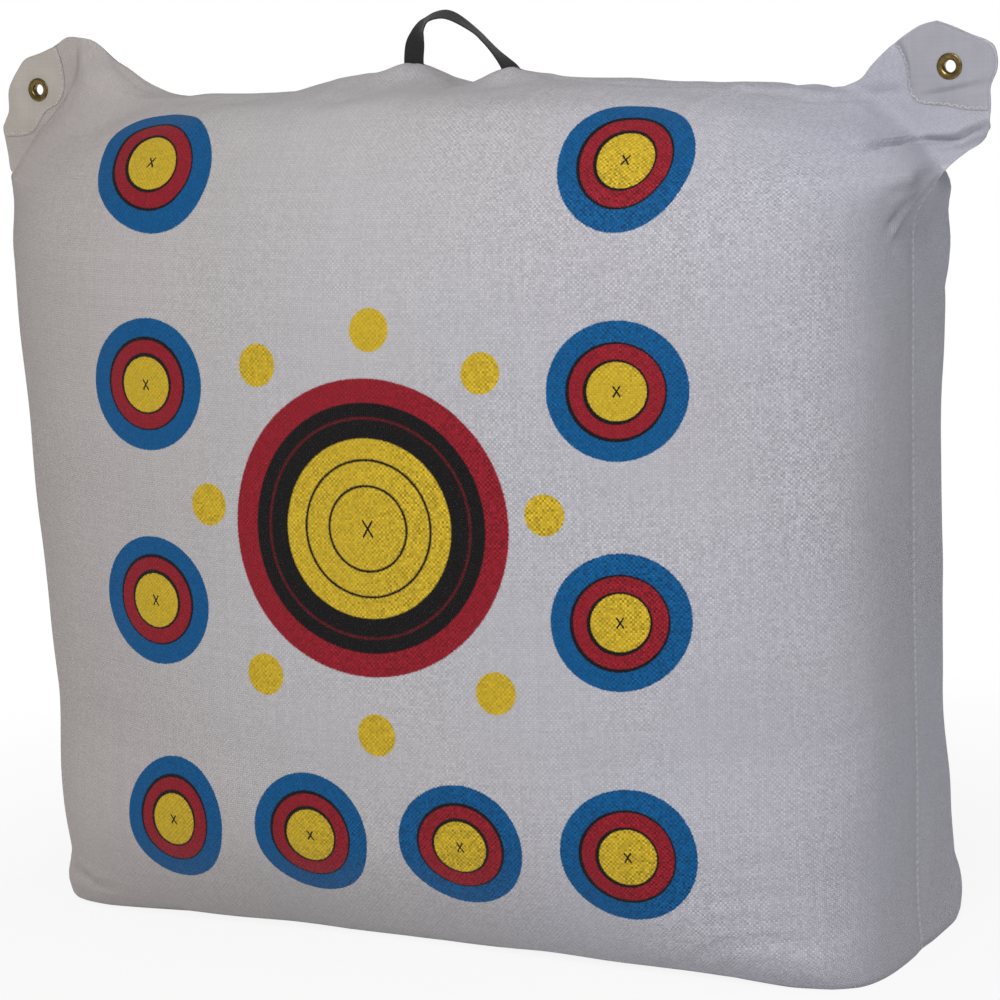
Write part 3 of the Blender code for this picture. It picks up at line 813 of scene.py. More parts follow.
    def half(self, face: Face) -> Cloth:
        """One half of the cover with its ears: relaxed, pushed out by the fill, folded and draped."""
        points, chart = self.front_half()
        faces = self.flat_faces()
        points = self.relax(points, faces)
        normals = surface_normals(points, faces)
        away = ease(0.0, self.push_reach, -points[:, 1])
        push = self.lumps(points * [1.0, -face.value, 1.0], face) * away
        for crease in FOLDS[face]:
            push += crease.lift(points * [1.0, -face.value, 1.0]) * ease(0.0, self.fold_reach, -points[:, 1])
        points = points + normals * push[:, None]
        ears = np.arange(len(points)) >= self.index()[0].size
        flat = ease(*self.ply_x, np.abs(points[:, 0])) * ease(*self.ply_z, points[:, 2])
        limit = np.where(ears, self.ply_offset, self.seam_offset + (self.ply_offset - self.seam_offset) * flat)
        tail = np.exp(-(((np.abs(points[:, 0]) - self.form.peak_spacing / 2.0) / self.tail_reach) ** 4))
        limit = limit + self.tail_gap * tail * ease(*self.tail_rise, points[:, 2])
        points[:, 1] = np.minimum(points[:, 1], -limit)
        points[:, 1] += self.drape(points) * -face.value
        points[:, 2] = np.maximum(points[:, 2], self.lowest)
        points, faces = on_face(points, faces, face)
        return Cloth(points, faces, chart, surface_normals(points, faces))

    def corner_mask(self, cloth: Cloth, side: Side) -> Array:
        """Quads that go with one ear: the ear itself and the block of the body next to its hinge line."""
        body, left, right = self.index()
        ear = EARS[side]
        out = ear.spread(cloth.points[:, 0], cloth.points[:, 2])[: body.size].reshape(body.shape)
        half = slice(0, self.form.across // 2) if side is Side.LEFT else slice(self.form.across // 2, None)
        inside = out[:, half] > self.corner_start - self.corner_margin
        rows = np.flatnonzero(inside.any(axis=1))
        columns = np.flatnonzero(inside.any(axis=0))
        block = np.zeros(len(cloth.points), bool)
        picked = body[:, half][rows[0] : rows[-1] + 1, columns[0] : columns[-1] + 1]
        block[picked] = True
        block[left if side is Side.LEFT else right] = True
        return block[cloth.faces].all(axis=1)

    def pierce(self, cloth: Cloth, side: Side) -> Cloth:
        """Cut the grommet's hole: drop the quads inside it and draw the cut's rim to a circle."""
        ear = EARS[side]
        gap = ear.from_hole(cloth.points[:, 0], cloth.points[:, 2])
        inside = (gap < ear.hole_radius) & (np.abs(cloth.points[:, 1]) < self.cut_depth)
        keep = ~inside[cloth.faces].any(axis=1)
        centre = np.array([ear.hole[0] * side.value, ear.hole[1]])
        rim = np.unique(rim_edges(cloth.faces[keep]))
        rim = rim[gap[rim] < ear.hole_radius + self.cut_reach]
        points = cloth.points.copy()
        ray = points[rim][:, [0, 2]] - centre
        ray *= ear.hole_radius / np.linalg.norm(ray, axis=1, keepdims=True)
        points[rim, 0], points[rim, 2] = centre[0] + ray[:, 0], centre[1] + ray[:, 1]
        return Cloth(points, cloth.faces, cloth.chart, cloth.normals).part(keep)

    def build(self, finishes: dict[Face, Material]) -> None:
        """Make both halves: the panel that stays with the bag, and a corner piece for each ear."""
        for face in Face:
            cloth = self.half(face)
            name = face.name.lower()
            rest = np.ones(len(cloth.faces), bool)
            for side in Side:
                mask = self.corner_mask(cloth, side)
                rest &= ~mask
                corner = self.pierce(cloth.part(mask), side).shell(self.thickness)
                which = side.name.lower()
                item = corner.piece(f"cover_{name}_{which}_corner", finishes[face])
                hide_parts(f"{which}_ear_{name}_ply")
                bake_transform(item)
            item = cloth.part(rest).shell(self.thickness).piece(f"cover_{name}", finishes[face])
            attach(item, "bag")
            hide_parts(f"cover_{name}_panel")


# Finishes


def linear(screen: Colour) -> tuple[float, float, float, float]:
    """A colour read off a screen, 0 to 255, as the light it stands for, 0 to 1."""
    shares = (level / 255 for level in screen)
    parts = [c / 12.92 if c <= 0.04045 else ((c + 0.055) / 1.055) ** 2.4 for c in shares]
    return (*parts, 1.0)


class Shade:
    """A material's nodes, joined one after another; each call returns the socket that carries its result."""

    def __init__(self, name: str) -> None:
        """Start a material with one surface shader."""
        self.material = bpy.data.materials.new(name)
        self.material.use_nodes = True
        self.tree = self.material.node_tree
        self.tree.nodes.clear()
        self.surface = self.tree.nodes.new("ShaderNodeBsdfPrincipled")
        output = self.tree.nodes.new("ShaderNodeOutputMaterial")
        self.tree.links.new(self.surface.outputs["BSDF"], output.inputs["Surface"])

    def finish(self, colour, roughness, normal, constants: dict[str, float]) -> Material:
        """Join results to the surface and set its constants.

        Args:
            colour: the base colour.
            roughness: how dull the surface is.
            normal: the shading normal.
            constants: values for other inputs of the shader, by name.

        Returns:
            The finished material.
        """
        for name, socket in (("Base Color", colour), ("Roughness", roughness), ("Normal", normal)):
            self.tree.links.new(socket, self.surface.inputs[name])
        for name, value in constants.items():
            self.surface.inputs[name].default_value = value
        return self.material

    def node(self, kind: str, inputs: dict, result: str | int = 0, **settings) -> Socket:
        """Add a node.

        Args:
            kind: node type, without its ShaderNode prefix.
            inputs: a value or an earlier socket for each input, by name or number.
            result: which output to hand on.
            settings: properties of the node.

        Returns:
            The chosen output socket.
        """
        made = self.tree.nodes.new("ShaderNode" + kind)
        for name, value in settings.items():
            setattr(made, name, value)
        for key, value in inputs.items():
            if isinstance(value, Socket):
                self.tree.links.new(value, made.inputs[key])
            else:
                made.inputs[key].default_value = value
        return made.outputs[result]

    def sum(self, operation: str, *values) -> Socket:
        """One step of arithmetic on numbers, such as ADD or MULTIPLY."""
        return self.node("Math", dict(enumerate(values)), operation=operation)

    def chain(self, operation: str, values) -> Socket:
        """Numbers joined one after another by the same step of arithmetic."""
        return reduce(lambda first, second: self.sum(operation, first, second), values)

    def times(self, *values) -> Socket:
        """The product of some numbers."""
        return self.chain("MULTIPLY", values)

    def plus(self, *values) -> Socket:
        """The sum of some numbers."""
        return self.chain("ADD", values)

    def most(self, *values) -> Socket:
        """The largest of some numbers."""
        return self.chain("MAXIMUM", values)

    def total(self, vectors) -> Socket:
        """The sum of some vectors."""
        return reduce(lambda first, second: self.vector("ADD", first, second), vectors)

    def less(self, first, second) -> Socket:
        """The first number less the second."""
        return self.sum("SUBTRACT", first, second)

    def size(self, value) -> Socket:
        """A number without its sign."""
        return self.sum("ABSOLUTE", value)

    def axis(self, vector, number: int) -> Socket:
        """One part of a vector: 0 for x, 1 for y, 2 for z."""
        return self.node("SeparateXYZ", {0: vector}, number)

    def vector(self, operation: str, *values, result: str | int = 0) -> Socket:
        """One step of arithmetic on vectors, such as ADD or LENGTH."""
        return self.node("VectorMath", dict(enumerate(values)), result, operation=operation)

    def scaled(self, vector, factor) -> Socket:
        """A vector or colour times a number."""
        vector = vector[:3] if isinstance(vector, tuple) else vector
        return self.node("VectorMath", {0: vector, "Scale": factor}, operation="SCALE")

    def ramp(self, value, low: float, high: float, start: float = 0.0, end: float = 1.0) -> Socket:
        """Value carried from low..high to start..end in a straight line, held at both ends."""
        inputs = {"Value": value, "From Min": low, "From Max": high, "To Min": start, "To Max": end}
        return self.node("MapRange", inputs, clamp=True)

    def fall(self, value, low: float, high: float) -> Socket:
        """1 below low, 0 above high, and a straight line between them."""
        return self.ramp(value, low, high, 1.0, 0.0)

    def mix(self, share, first, second) -> Socket:
        """Two colours mixed by share."""
        return self.node("Mix", {0: share, 6: first, 7: second}, 2, data_type="RGBA")

    def noise(self, place, rate: float, detail: float = 2.0, rough: float = 0.5, seed: float = 0.0) -> Socket:
        """Cloudy noise, 0 to 1, about rate patches a metre."""
        inputs = {"Vector": place, "W": seed, "Scale": rate, "Detail": detail, "Roughness": rough}
        return self.node("TexNoise", inputs, noise_dimensions="4D")

    def chart(self) -> Socket:
        """Place on the piece's own flat chart, in metres."""
        return self.node("UVMap", {}, uv_map="chart")

    def place(self) -> Socket:
        """Place in the model's frame, in metres."""
        return self.node("TexCoord", {}, "Object")

    def bump(self, height, distance: float, strength: float = 1.0, under=None) -> Socket:
        """Shading normal of a relief, laid over an earlier one."""
        inputs = {"Height": height, "Distance": distance, "Strength": strength}
        if under is not None:
            inputs["Normal"] = under
        return self.node("Bump", inputs)

    def weave(self, place, pitch: float, seed: float = 0.0) -> tuple[Socket, ...]:
        """Plain weave of flat tapes: in every other cell the tape that runs up is on top, else the one across.

        Args:
            place: flat position in metres.
            pitch: width of a tape.
            seed: changes the tapes' tones.

        Returns:
            Height of the weave, 0 to 1, the tone of the tape on top, 0 to 1, and 1 where that tape runs across.
        """
        cell = self.scaled(place, 1.0 / pitch)
        whole = self.vector("FLOOR", cell)
        part = self.vector("ABSOLUTE", self.vector("SUBTRACT", self.vector("SUBTRACT", cell, whole), (0.5, 0.5, 0.0)))
        column = self.axis(whole, 0)
        row = self.axis(whole, 1)
        across = self.times(self.axis(part, 0), 2.0)
        along = self.times(self.axis(part, 1), 2.0)
        odd = self.sum("FLOORED_MODULO", self.plus(column, row), 2.0)
        heights = []
        for edge, run in ((across, along), (along, across)):
            flat = self.less(1.0, self.sum("POWER", edge, 5.0))
            crown = self.less(1.0, self.times(self.sum("POWER", run, 2.0), 0.55))
            heights.append(self.times(flat, crown))
        height = self.node("Mix", {0: odd, 2: heights[0], 3: heights[1]})
        tones = []
        for line, other in ((column, row), (row, column)):
            key = self.node("CombineXYZ", {0: line, 1: self.sum("FLOOR", self.sum("DIVIDE", other, 90.0)), 2: seed})
            tones.append(self.node("TexWhiteNoise", {"Vector": key}, noise_dimensions="3D"))
        tone = self.node("Mix", {0: odd, 2: tones[0], 3: tones[1]})
        return height, tone, odd


@dataclass(frozen=True)
class PrintSpot:
    """An ellipse printed on the cloth: its middle, half sizes and turn on the chart, in metres and radians."""

    u: float
    v: float
    half_u: float
    half_v: float
    turn: float = 0.0


@dataclass(frozen=True)
class TargetPrint:
    """Ring targets: ten ringed spots, one large target in the middle, and eight dots round it."""

    spots: tuple[PrintSpot, ...]
    dots: tuple[PrintSpot, ...]
    bullseye: PrintSpot
    blue: Colour = (0, 86, 140)
    red: Colour = (146, 24, 38)
    yellow: Colour = (206, 174, 42)
    black: Colour = (12, 8, 10)
    line_shift: Point = (0.012, -0.010, 0.0)

    def nearest(self, shade: Shade, chart, spots: tuple[PrintSpot, ...]) -> tuple[Socket, ...]:
        """Distance to the nearest spot in its own radii, and the place inside that spot.

        Args:
            shade: the material.
            chart: flat position on the cloth.
            spots: ellipses to look for.

        Returns:
            Radius, 1 on a spot's edge, the place in the spot's own radii, and the same but not turned.
        """
        lengths, turned, level = [], [], []
        for spot in spots:
            moved = self.in_radii(shade, chart, spot)
            lengths.append(shade.vector("LENGTH", moved, result=1))
            inside = shade.sum("LESS_THAN", lengths[-1], 1.3)
            turned.append(shade.scaled(moved, inside))
            level.append(shade.scaled(self.upright(shade, chart, spot), inside))
        return shade.chain("MINIMUM", lengths), shade.total(turned), shade.total(level)

    def upright(self, shade: Shade, chart, spot: PrintSpot) -> Socket:
        """Chart position from a spot's middle in its mean radius, not turned."""
        moved = shade.vector("SUBTRACT", chart, (spot.u, spot.v, 0.0))
        return shade.scaled(moved, 2.0 / (spot.half_u + spot.half_v))

    def in_radii(self, shade: Shade, chart, spot: PrintSpot) -> Socket:
        """Chart position carried into a spot's own radii."""
        inputs = {
            "Vector": chart, "Location": (spot.u, spot.v, 0.0), "Rotation": (0.0, 0.0, spot.turn),
            "Scale": (spot.half_u, spot.half_v, 1.0),
        }
        return shade.node("Mapping", inputs, vector_type="TEXTURE")

    def cross(self, shade: Shade, local, reach: float, width: float) -> Socket:
        """1 on the two bars of a small cross, half as tall again as wide, 0 off it.

        Args:
            shade: the material.
            local: place in the spot's own radii.
            reach: half length of a bar across or up.
            width: half width of a bar.

        Returns:
            The mask.
        """
        x = shade.times(shade.size(shade.axis(local, 0)), 1.5)
        y = shade.size(shade.axis(local, 1))
        off = shade.size(shade.less(x, y))
        bar = shade.fall(off, width, width * 1.5)
        end = shade.fall(shade.most(x, y), reach, reach * 1.1)
        return shade.times(bar, end)

    def band(self, shade: Shade, radius, low: float, high: float, soft: float = 0.008) -> Socket:
        """1 between two radii, with a slightly soft edge."""
        return shade.times(
            shade.ramp(radius, low - soft, low + soft), shade.fall(radius, high - soft, high + soft)
        )

    def ink(self, shade: Shade, cloth, chart, ragged) -> tuple[Socket, Socket]:
        """Lay the targets over the cloth's colour.

        Away from every spot the local place is zero, so the spots' rings are kept to the spots themselves.

        Args:
            shade: the material.
            cloth: colour of the bare cloth.
            chart: flat position.
            ragged: a small vector that frays the ink's edges.

        Returns:
            The colour with the print, and a mask of the ink.
        """
        place = shade.vector("ADD", chart, ragged)
        blue, red, yellow, black = (linear(c) for c in (self.blue, self.red, self.yellow, self.black))
        radius, local, level = self.nearest(shade, place, self.spots)
        shifted = shade.vector("LENGTH", shade.vector("ADD", local, self.line_shift), result=1)
        inked = shade.fall(radius, 0.99, 1.01)
        rings = (
            (radius, 0.99, 1.01, blue), (shifted, 0.70, 0.715, black), (radius, 0.66, 0.675, red),
            (shifted, 0.455, 0.47, black), (radius, 0.41, 0.425, yellow),
        )
        colour = cloth
        for distance, low, high, tone in rings:
            colour = shade.mix(shade.fall(distance, low, high), colour, tone)
        colour = shade.mix(self.cross(shade, level, 0.078, 0.018), colour, black)
        colour = shade.mix(inked, cloth, colour)
        dot = shade.fall(self.nearest(shade, place, self.dots)[0], 0.97, 1.03)
        colour = shade.mix(dot, colour, yellow)
        radius = shade.vector("LENGTH", self.in_radii(shade, place, self.bullseye), result=1)
        disc = shade.fall(radius, 0.995, 1.005)
        colour = shade.mix(disc, colour, red)
        colour = shade.mix(shade.fall(radius, 0.835, 0.845), colour, black)
        colour = shade.mix(shade.times(self.band(shade, radius, 0.730, 0.744), 0.45), colour, red)
        colour = shade.mix(shade.fall(radius, 0.598, 0.608), colour, yellow)
        lines = [self.band(shade, radius, low, high, 0.005) for low, high in ((0.450, 0.468), (0.277, 0.295))]
        cross = self.cross(shade, self.upright(shade, place, self.bullseye), 0.056, 0.010)
        colour = shade.mix(shade.times(shade.most(*lines, cross), disc), colour, black)
        return colour, shade.most(inked, dot, disc)


@dataclass(frozen=True)
class WovenPlastic:
    """Coarse cloth of flat plastic tapes: a faint gloss, tapes of slightly different tone, grey soiling, painted
    highlights on the tapes, painted shade in the weave's hollows, and a painted light tint, warm and darker on the
    left and cool on the right.
    """

    name: str
    colour: Colour = (196, 195, 197)
    # warm also colours the soiling; the warm tint on the left and the cool tint on the right are painted lamp light.
    warm: Colour = (190, 181, 176)
    cool_lamp_tint: Colour = (192, 192, 203)
    pitch: float = 0.0019
    relief: float = 0.0005
    tape_change: float = 0.04
    # These two set the strength of the painted highlights on the tapes.
    glint_speckle: float = 0.16
    glint: float = 0.055
    roughness: float = 0.50
    sheen: float = 0.03
    sewing: Colour = (226, 226, 228)
    design: TargetPrint | None = None

    def make(self) -> Material:
        """Build the material and return it."""
        shade = Shade(self.name)
        chart, place = shade.chart(), shade.place()
        height, tone, across = shade.weave(chart, self.pitch)
        clouds = shade.noise(place, 5.0, 4.0, 0.6)
        soil = shade.ramp(shade.noise(place, 2.2, 3.0, 0.5, 4.0), 0.35, 0.68)
        # Painted light: the cloth turns warm and a little darker towards the left end and cool towards the right, as
        # the lamps' colours fall on it.
        width = shade.axis(place, 0)
        colour = shade.mix(shade.ramp(width, -0.42, -0.05), linear(self.warm), linear(self.colour))
        colour = shade.mix(shade.ramp(width, 0.0, 0.34), colour, linear(self.cool_lamp_tint))
        colour = shade.mix(shade.times(soil, 0.40), colour, linear(self.warm))
        # Painted shade: the hollows between the tapes are darkened. The cloudy factor and the per-tape factor are the
        # cloth's own tone.
        shadow = shade.times(
            shade.ramp(clouds, 0.3, 0.7, 0.96, 1.03),
            shade.ramp(tone, 0.0, 1.0, 1.0 - self.tape_change, 1.0 + self.tape_change),
            shade.ramp(height, 0.0, 0.6, 0.84, 1.0),
        )
        # Painted highlight: a bright or dark speck in each weave cell and a checker that lightens the upright tapes
        # stand in for lamp glints. Both grow towards the right, where the key lamp falls, and fade on the ends and
        # ears.
        cell = shade.vector("FLOOR", shade.scaled(chart, 1.0 / self.pitch))
        dots = shade.node("TexWhiteNoise", {"Vector": cell}, noise_dimensions="3D")
        patchy = shade.ramp(shade.noise(place, 7.0, 2.0, 0.5, 9.0), 0.35, 0.65, 0.6, 1.5)
        patchy = shade.times(patchy, shade.ramp(shade.size(width), 0.36, 0.40, 1.0, 0.35))
        spread = shade.times(patchy, shade.ramp(width, -0.30, 0.36, 0.6, 1.5))
        dots = shade.times(shade.less(dots, 0.5), shade.times(spread, self.glint_speckle))
        glint_checker = shade.times(shade.less(across, 0.5), shade.times(spread, -2.0 * self.glint))
        glints_and_grain = shade.plus(dots, glint_checker)
        shadow = shade.times(shadow, shade.plus(1.0, glints_and_grain))
        colour = shade.scaled(colour, shadow)
        colour = self.seam_thread(shade, place, colour)
        if self.design is not None:
            cloudy = shade.node("TexNoise", {"Vector": chart, "Scale": 900.0, "Detail": 1.0}, 1)
            ragged = shade.vector("SUBTRACT", cloudy, (0.5, 0.5, 0.5))
            colour, ink = self.design.ink(shade, colour, chart, shade.scaled(ragged, 0.0016))
            speck = shade.noise(chart, 1300.0, 1.0)
            worn = shade.times(shade.ramp(speck, 0.60, 0.78, 0.0, 0.30), ink)
            worn = shade.times(worn, shade.ramp(tone, 0.3, 1.0, 0.5, 1.0))
            colour = shade.mix(worn, colour, linear(self.colour))
            # Painted highlight and shade on the ink: the tape glints again, stronger, and the weave's hollows
            # darkened.
            coarse = shade.times(shade.times(glints_and_grain, ink), 2.2)
            colour = shade.scaled(colour, shade.plus(shade.ramp(height, 0.0, 0.6, 0.86, 1.0), coarse))
        rough = shade.ramp(tone, 0.0, 1.0, self.roughness - 0.07, self.roughness + 0.10)
        creases = shade.bump(shade.noise(place, 55.0, 3.0, 0.55, 2.0), 0.0016, 0.35)
        constants = {"Specular IOR Level": 0.14, "Sheen Weight": self.sheen, "Sheen Roughness": 0.5}
        return shade.finish(colour, rough, shade.bump(height, self.relief, 0.6, creases), constants)

    def seam_thread(self, shade: Shade, place, colour) -> Socket:
        """Pale dotted line of sewing along the side seams.

        Args:
            shade: the material.
            place: position in the model's frame.
            colour: the cloth's colour.

        Returns:
            The cloth's colour with the line over it.
        """
        x, y, z = (shade.axis(place, axis) for axis in range(3))
        line = shade.fall(shade.size(y), 0.0016, 0.0030)
        low = shade.fall(z, 0.634, 0.642)
        beside = shade.ramp(shade.size(x), 0.355, 0.360)
        beads = shade.ramp(shade.sum("SINE", shade.times(z, FULL_TURN / 0.0065)), -0.4, 0.5, 0.25, 0.85)
        share = shade.times(shade.times(line, low), shade.times(beside, beads))
        return shade.mix(share, colour, linear(self.sewing))


@dataclass(frozen=True)
class FineCloth:
    """A close plain weave, smoother than the bag's own cloth, with painted shade in the weave's hollows and a painted
    light tint that runs from warm on the left to its own colour on the right.
    """

    name: str
    colour: Colour = (172, 171, 178)
    # warm is the painted tint of warm lamp light towards the left.
    warm: Colour = (190, 182, 172)
    pitch: float = 0.0012
    relief: float = 0.0002
    roughness: float = 0.62
    sheen: float = 0.04

    def make(self) -> Material:
        """Build the material and return it."""
        shade = Shade(self.name)
        chart, place = shade.chart(), shade.place()
        height, tone, _ = shade.weave(chart, self.pitch, 3.0)
        clouds = shade.noise(place, 30.0, 3.0, 0.6, 1.0)
        # Painted shade: the hollows of the weave are darkened. The cloudy factor and the per-tape factor are the
        # cloth's own tone.
        level = shade.times(
            shade.ramp(clouds, 0.3, 0.7, 0.93, 1.03), shade.ramp(tone, 0.0, 1.0, 0.96, 1.04),
            shade.ramp(height, 0.0, 0.5, 0.9, 1.0),
        )
        # Painted light: the cloth is tinted warm towards the left and keeps its own cooler colour on the right, as
        # the lamps' colours fall on it.
        lamp_tint_share = shade.ramp(shade.axis(place, 0), -0.3, 0.3)
        colour = shade.mix(lamp_tint_share, linear(self.warm), linear(self.colour))
        rough = shade.ramp(clouds, 0.2, 0.8, self.roughness - 0.06, self.roughness + 0.1)
        creases = shade.bump(shade.noise(place, 120.0, 3.0, 0.55, 6.0), 0.0008, 0.3)
        constants = {"Sheen Weight": self.sheen, "Sheen Roughness": 0.45, "Specular IOR Level": 0.2}
        return shade.finish(
            shade.scaled(colour, level), rough, shade.bump(height, self.relief, 0.6, creases), constants
        )


@dataclass(frozen=True)
class Webbing:
    """Black ribbed webbing: cross ribs, and worn grey threads, more of them towards each edge."""

    name: str = "black_webbing"
    colour: Colour = (12, 12, 15)
    worn: Colour = (46, 45, 48)
    rib: float = 0.0016
    half_width: float = 0.010
    roughness: float = 0.62

    def make(self) -> Material:
        """Build the material on a chart of u across the strap and v along it.

        Returns:
            The new material.
        """
        shade = Shade(self.name)
        chart, place = shade.chart(), shade.place()
        across, along = shade.axis(chart, 0), shade.axis(chart, 1)
        ribs = shade.sum("SINE", shade.times(along, FULL_TURN / self.rib))
        columns = shade.sum("SINE", shade.times(across, FULL_TURN / (self.rib * 1.1)))
        height = shade.plus(shade.times(ribs, 0.35), shade.times(columns, 0.15), 0.5)
        edge = shade.ramp(shade.size(across), self.half_width * 0.74, self.half_width * 0.92)
        threads = shade.noise(chart, 700.0, 3.0, 0.6)
        wear = shade.times(shade.ramp(threads, 0.48, 0.75), shade.ramp(edge, 0.0, 1.0, 0.35, 0.9))
        colour = shade.mix(wear, linear(self.colour), linear(self.worn))
        rough = shade.ramp(threads, 0.2, 0.8, self.roughness - 0.08, self.roughness + 0.12)
        fuzz = shade.bump(shade.noise(place, 900.0, 2.0), 0.0002, 0.4)
        constants = {"Sheen Weight": 0.20, "Sheen Roughness": 0.4}
        return shade.finish(colour, rough, shade.bump(height, 0.0004, 0.8, fuzz), constants)


@dataclass(frozen=True)
class Brass:
    """Stamped brass: yellow metal dulled in places, with fine handling scratches."""

    name: str = "stamped_brass"
    colour: Colour = (128, 108, 66)
    dull: Colour = (58, 47, 28)

    def make(self) -> Material:
        """Build the material and return it."""
        shade = Shade(self.name)
        place = shade.place()
        tarnish = shade.ramp(shade.noise(place, 320.0, 4.0, 0.6), 0.42, 0.68)
        stretched = shade.vector("MULTIPLY", place, (900.0, 900.0, 6000.0))
        scratch = shade.node("TexNoise", {"Vector": stretched, "Scale": 1.0, "Detail": 3.0})
        colour = shade.mix(shade.times(tarnish, 0.7), linear(self.colour), linear(self.dull))
        rough = shade.plus(shade.ramp(tarnish, 0.0, 1.0, 0.24, 0.42), shade.ramp(scratch, 0.4, 0.7, 0.0, 0.10))
        return shade.finish(colour, rough, shade.bump(scratch, 0.00005, 0.5), {"Metallic": 1.0})


@dataclass(frozen=True)
class Fibre:
    """Loose matted fibre, or twisted thread: streaks of several tones and a rough, hairy surface."""

    name: str
    colour: Colour = (150, 146, 142)
    second: Colour = (96, 104, 122)
    rate: float = 60.0
    relief: float = 0.002
    roughness: float = 0.9

    def make(self) -> Material:
        """Build the material and return it."""
        shade = Shade(self.name)
        place = shade.place()
        cloudy = shade.node("TexNoise", {"Vector": place, "Scale": self.rate * 0.4, "Detail": 2.0}, 1)
        bent = shade.vector("ADD", place, shade.scaled(cloudy, 0.03))
        strands = shade.noise(shade.vector("MULTIPLY", bent, (1.0, 1.0, 5.0)), self.rate * 5.0, 4.0, 0.65)
        clumps = shade.noise(place, self.rate, 3.0, 0.6, 2.0)
        colour = shade.mix(shade.ramp(clumps, 0.42, 0.60), linear(self.colour), linear(self.second))
        colour = shade.scaled(colour, shade.ramp(strands, 0.25, 0.75, 0.7, 1.15))
        rough = shade.ramp(strands, 0.2, 0.8, self.roughness - 0.1, self.roughness)
        relief = shade.bump(strands, self.relief * 0.4, 0.7, shade.bump(clumps, self.relief, 0.7))
        return shade.finish(colour, rough, relief, {"Sheen Weight": 0.35, "Sheen Roughness": 0.5})


# Trim


def capped_tube(rings: Array) -> Array:
    """Quads of a tube of closed rings, with a strip of quads across each end.

    Args:
        rings: points as an array of (rings, points, 3), an even number of points in each ring.

    Returns:
        Corner numbers as an array of (quads, 4), facing outwards for rings that turn
        anticlockwise when seen from the tube's far end.
    """
    count, around = rings.shape[:2]
    side = grid_faces(count, around, wrap=True)
    step = np.arange(around // 2 - 1)
    cap = np.stack([step, step + 1, around - 2 - step, around - 1 - step], axis=1)
    return np.concatenate([side, cap[:, ::-1], cap + (count - 1) * around])


@dataclass(frozen=True)
class Patch:
    """Second layer of cloth on an ear: its four edges in the seam's plane."""

    side: Side
    inner: Knots
    lower: Knots
    outer: Knots
    upper: Knots

    def grid(self, steps: int) -> Array:
        """Grid of points over the four edges, as an array of (steps + 1, steps + 1, 2)."""
        return coons(*(smooth_line(edge, steps) for edge in (self.inner, self.outer, self.lower, self.upper)))


PATCHES = {
    Side.RIGHT: Patch(
        Side.RIGHT,
        inner=knots(2, 393.5, 693, 390, 702, 388.5, 716, 385.5, 726, 381, 734.5),
        lower=knots(2, 393.5, 693, 401, 688, 420, 686, 438, 682.5, 457, 681.5),
        outer=knots(2, 457, 681.5, 457.2, 700, 461.8, 712, 462.2, 722, 459.2, 730, 450, 736),
        upper=knots(2, 381, 734.5, 392, 741.3, 404, 748, 416, 750.5, 428, 746, 450, 736),
    ),
    Side.LEFT: Patch(
        Side.LEFT,
        inner=knots(2, -406, 704, -401, 712, -398.5, 724, -400, 740, -404, 754),
        lower=knots(2, -406, 704, -420, 696, -431, 681, -444, 676, -465.5, 675.5),
        outer=knots(2, -465.5, 675.5, -465.5, 683, -462.5, 690, -457.5, 699, -455.5, 715, -452.5, 724.5),
        upper=knots(2, -404, 754, -413, 751, -422.5, 747.8, -438, 742.5, -446, 734, -452.5, 724.5),
    ),
}


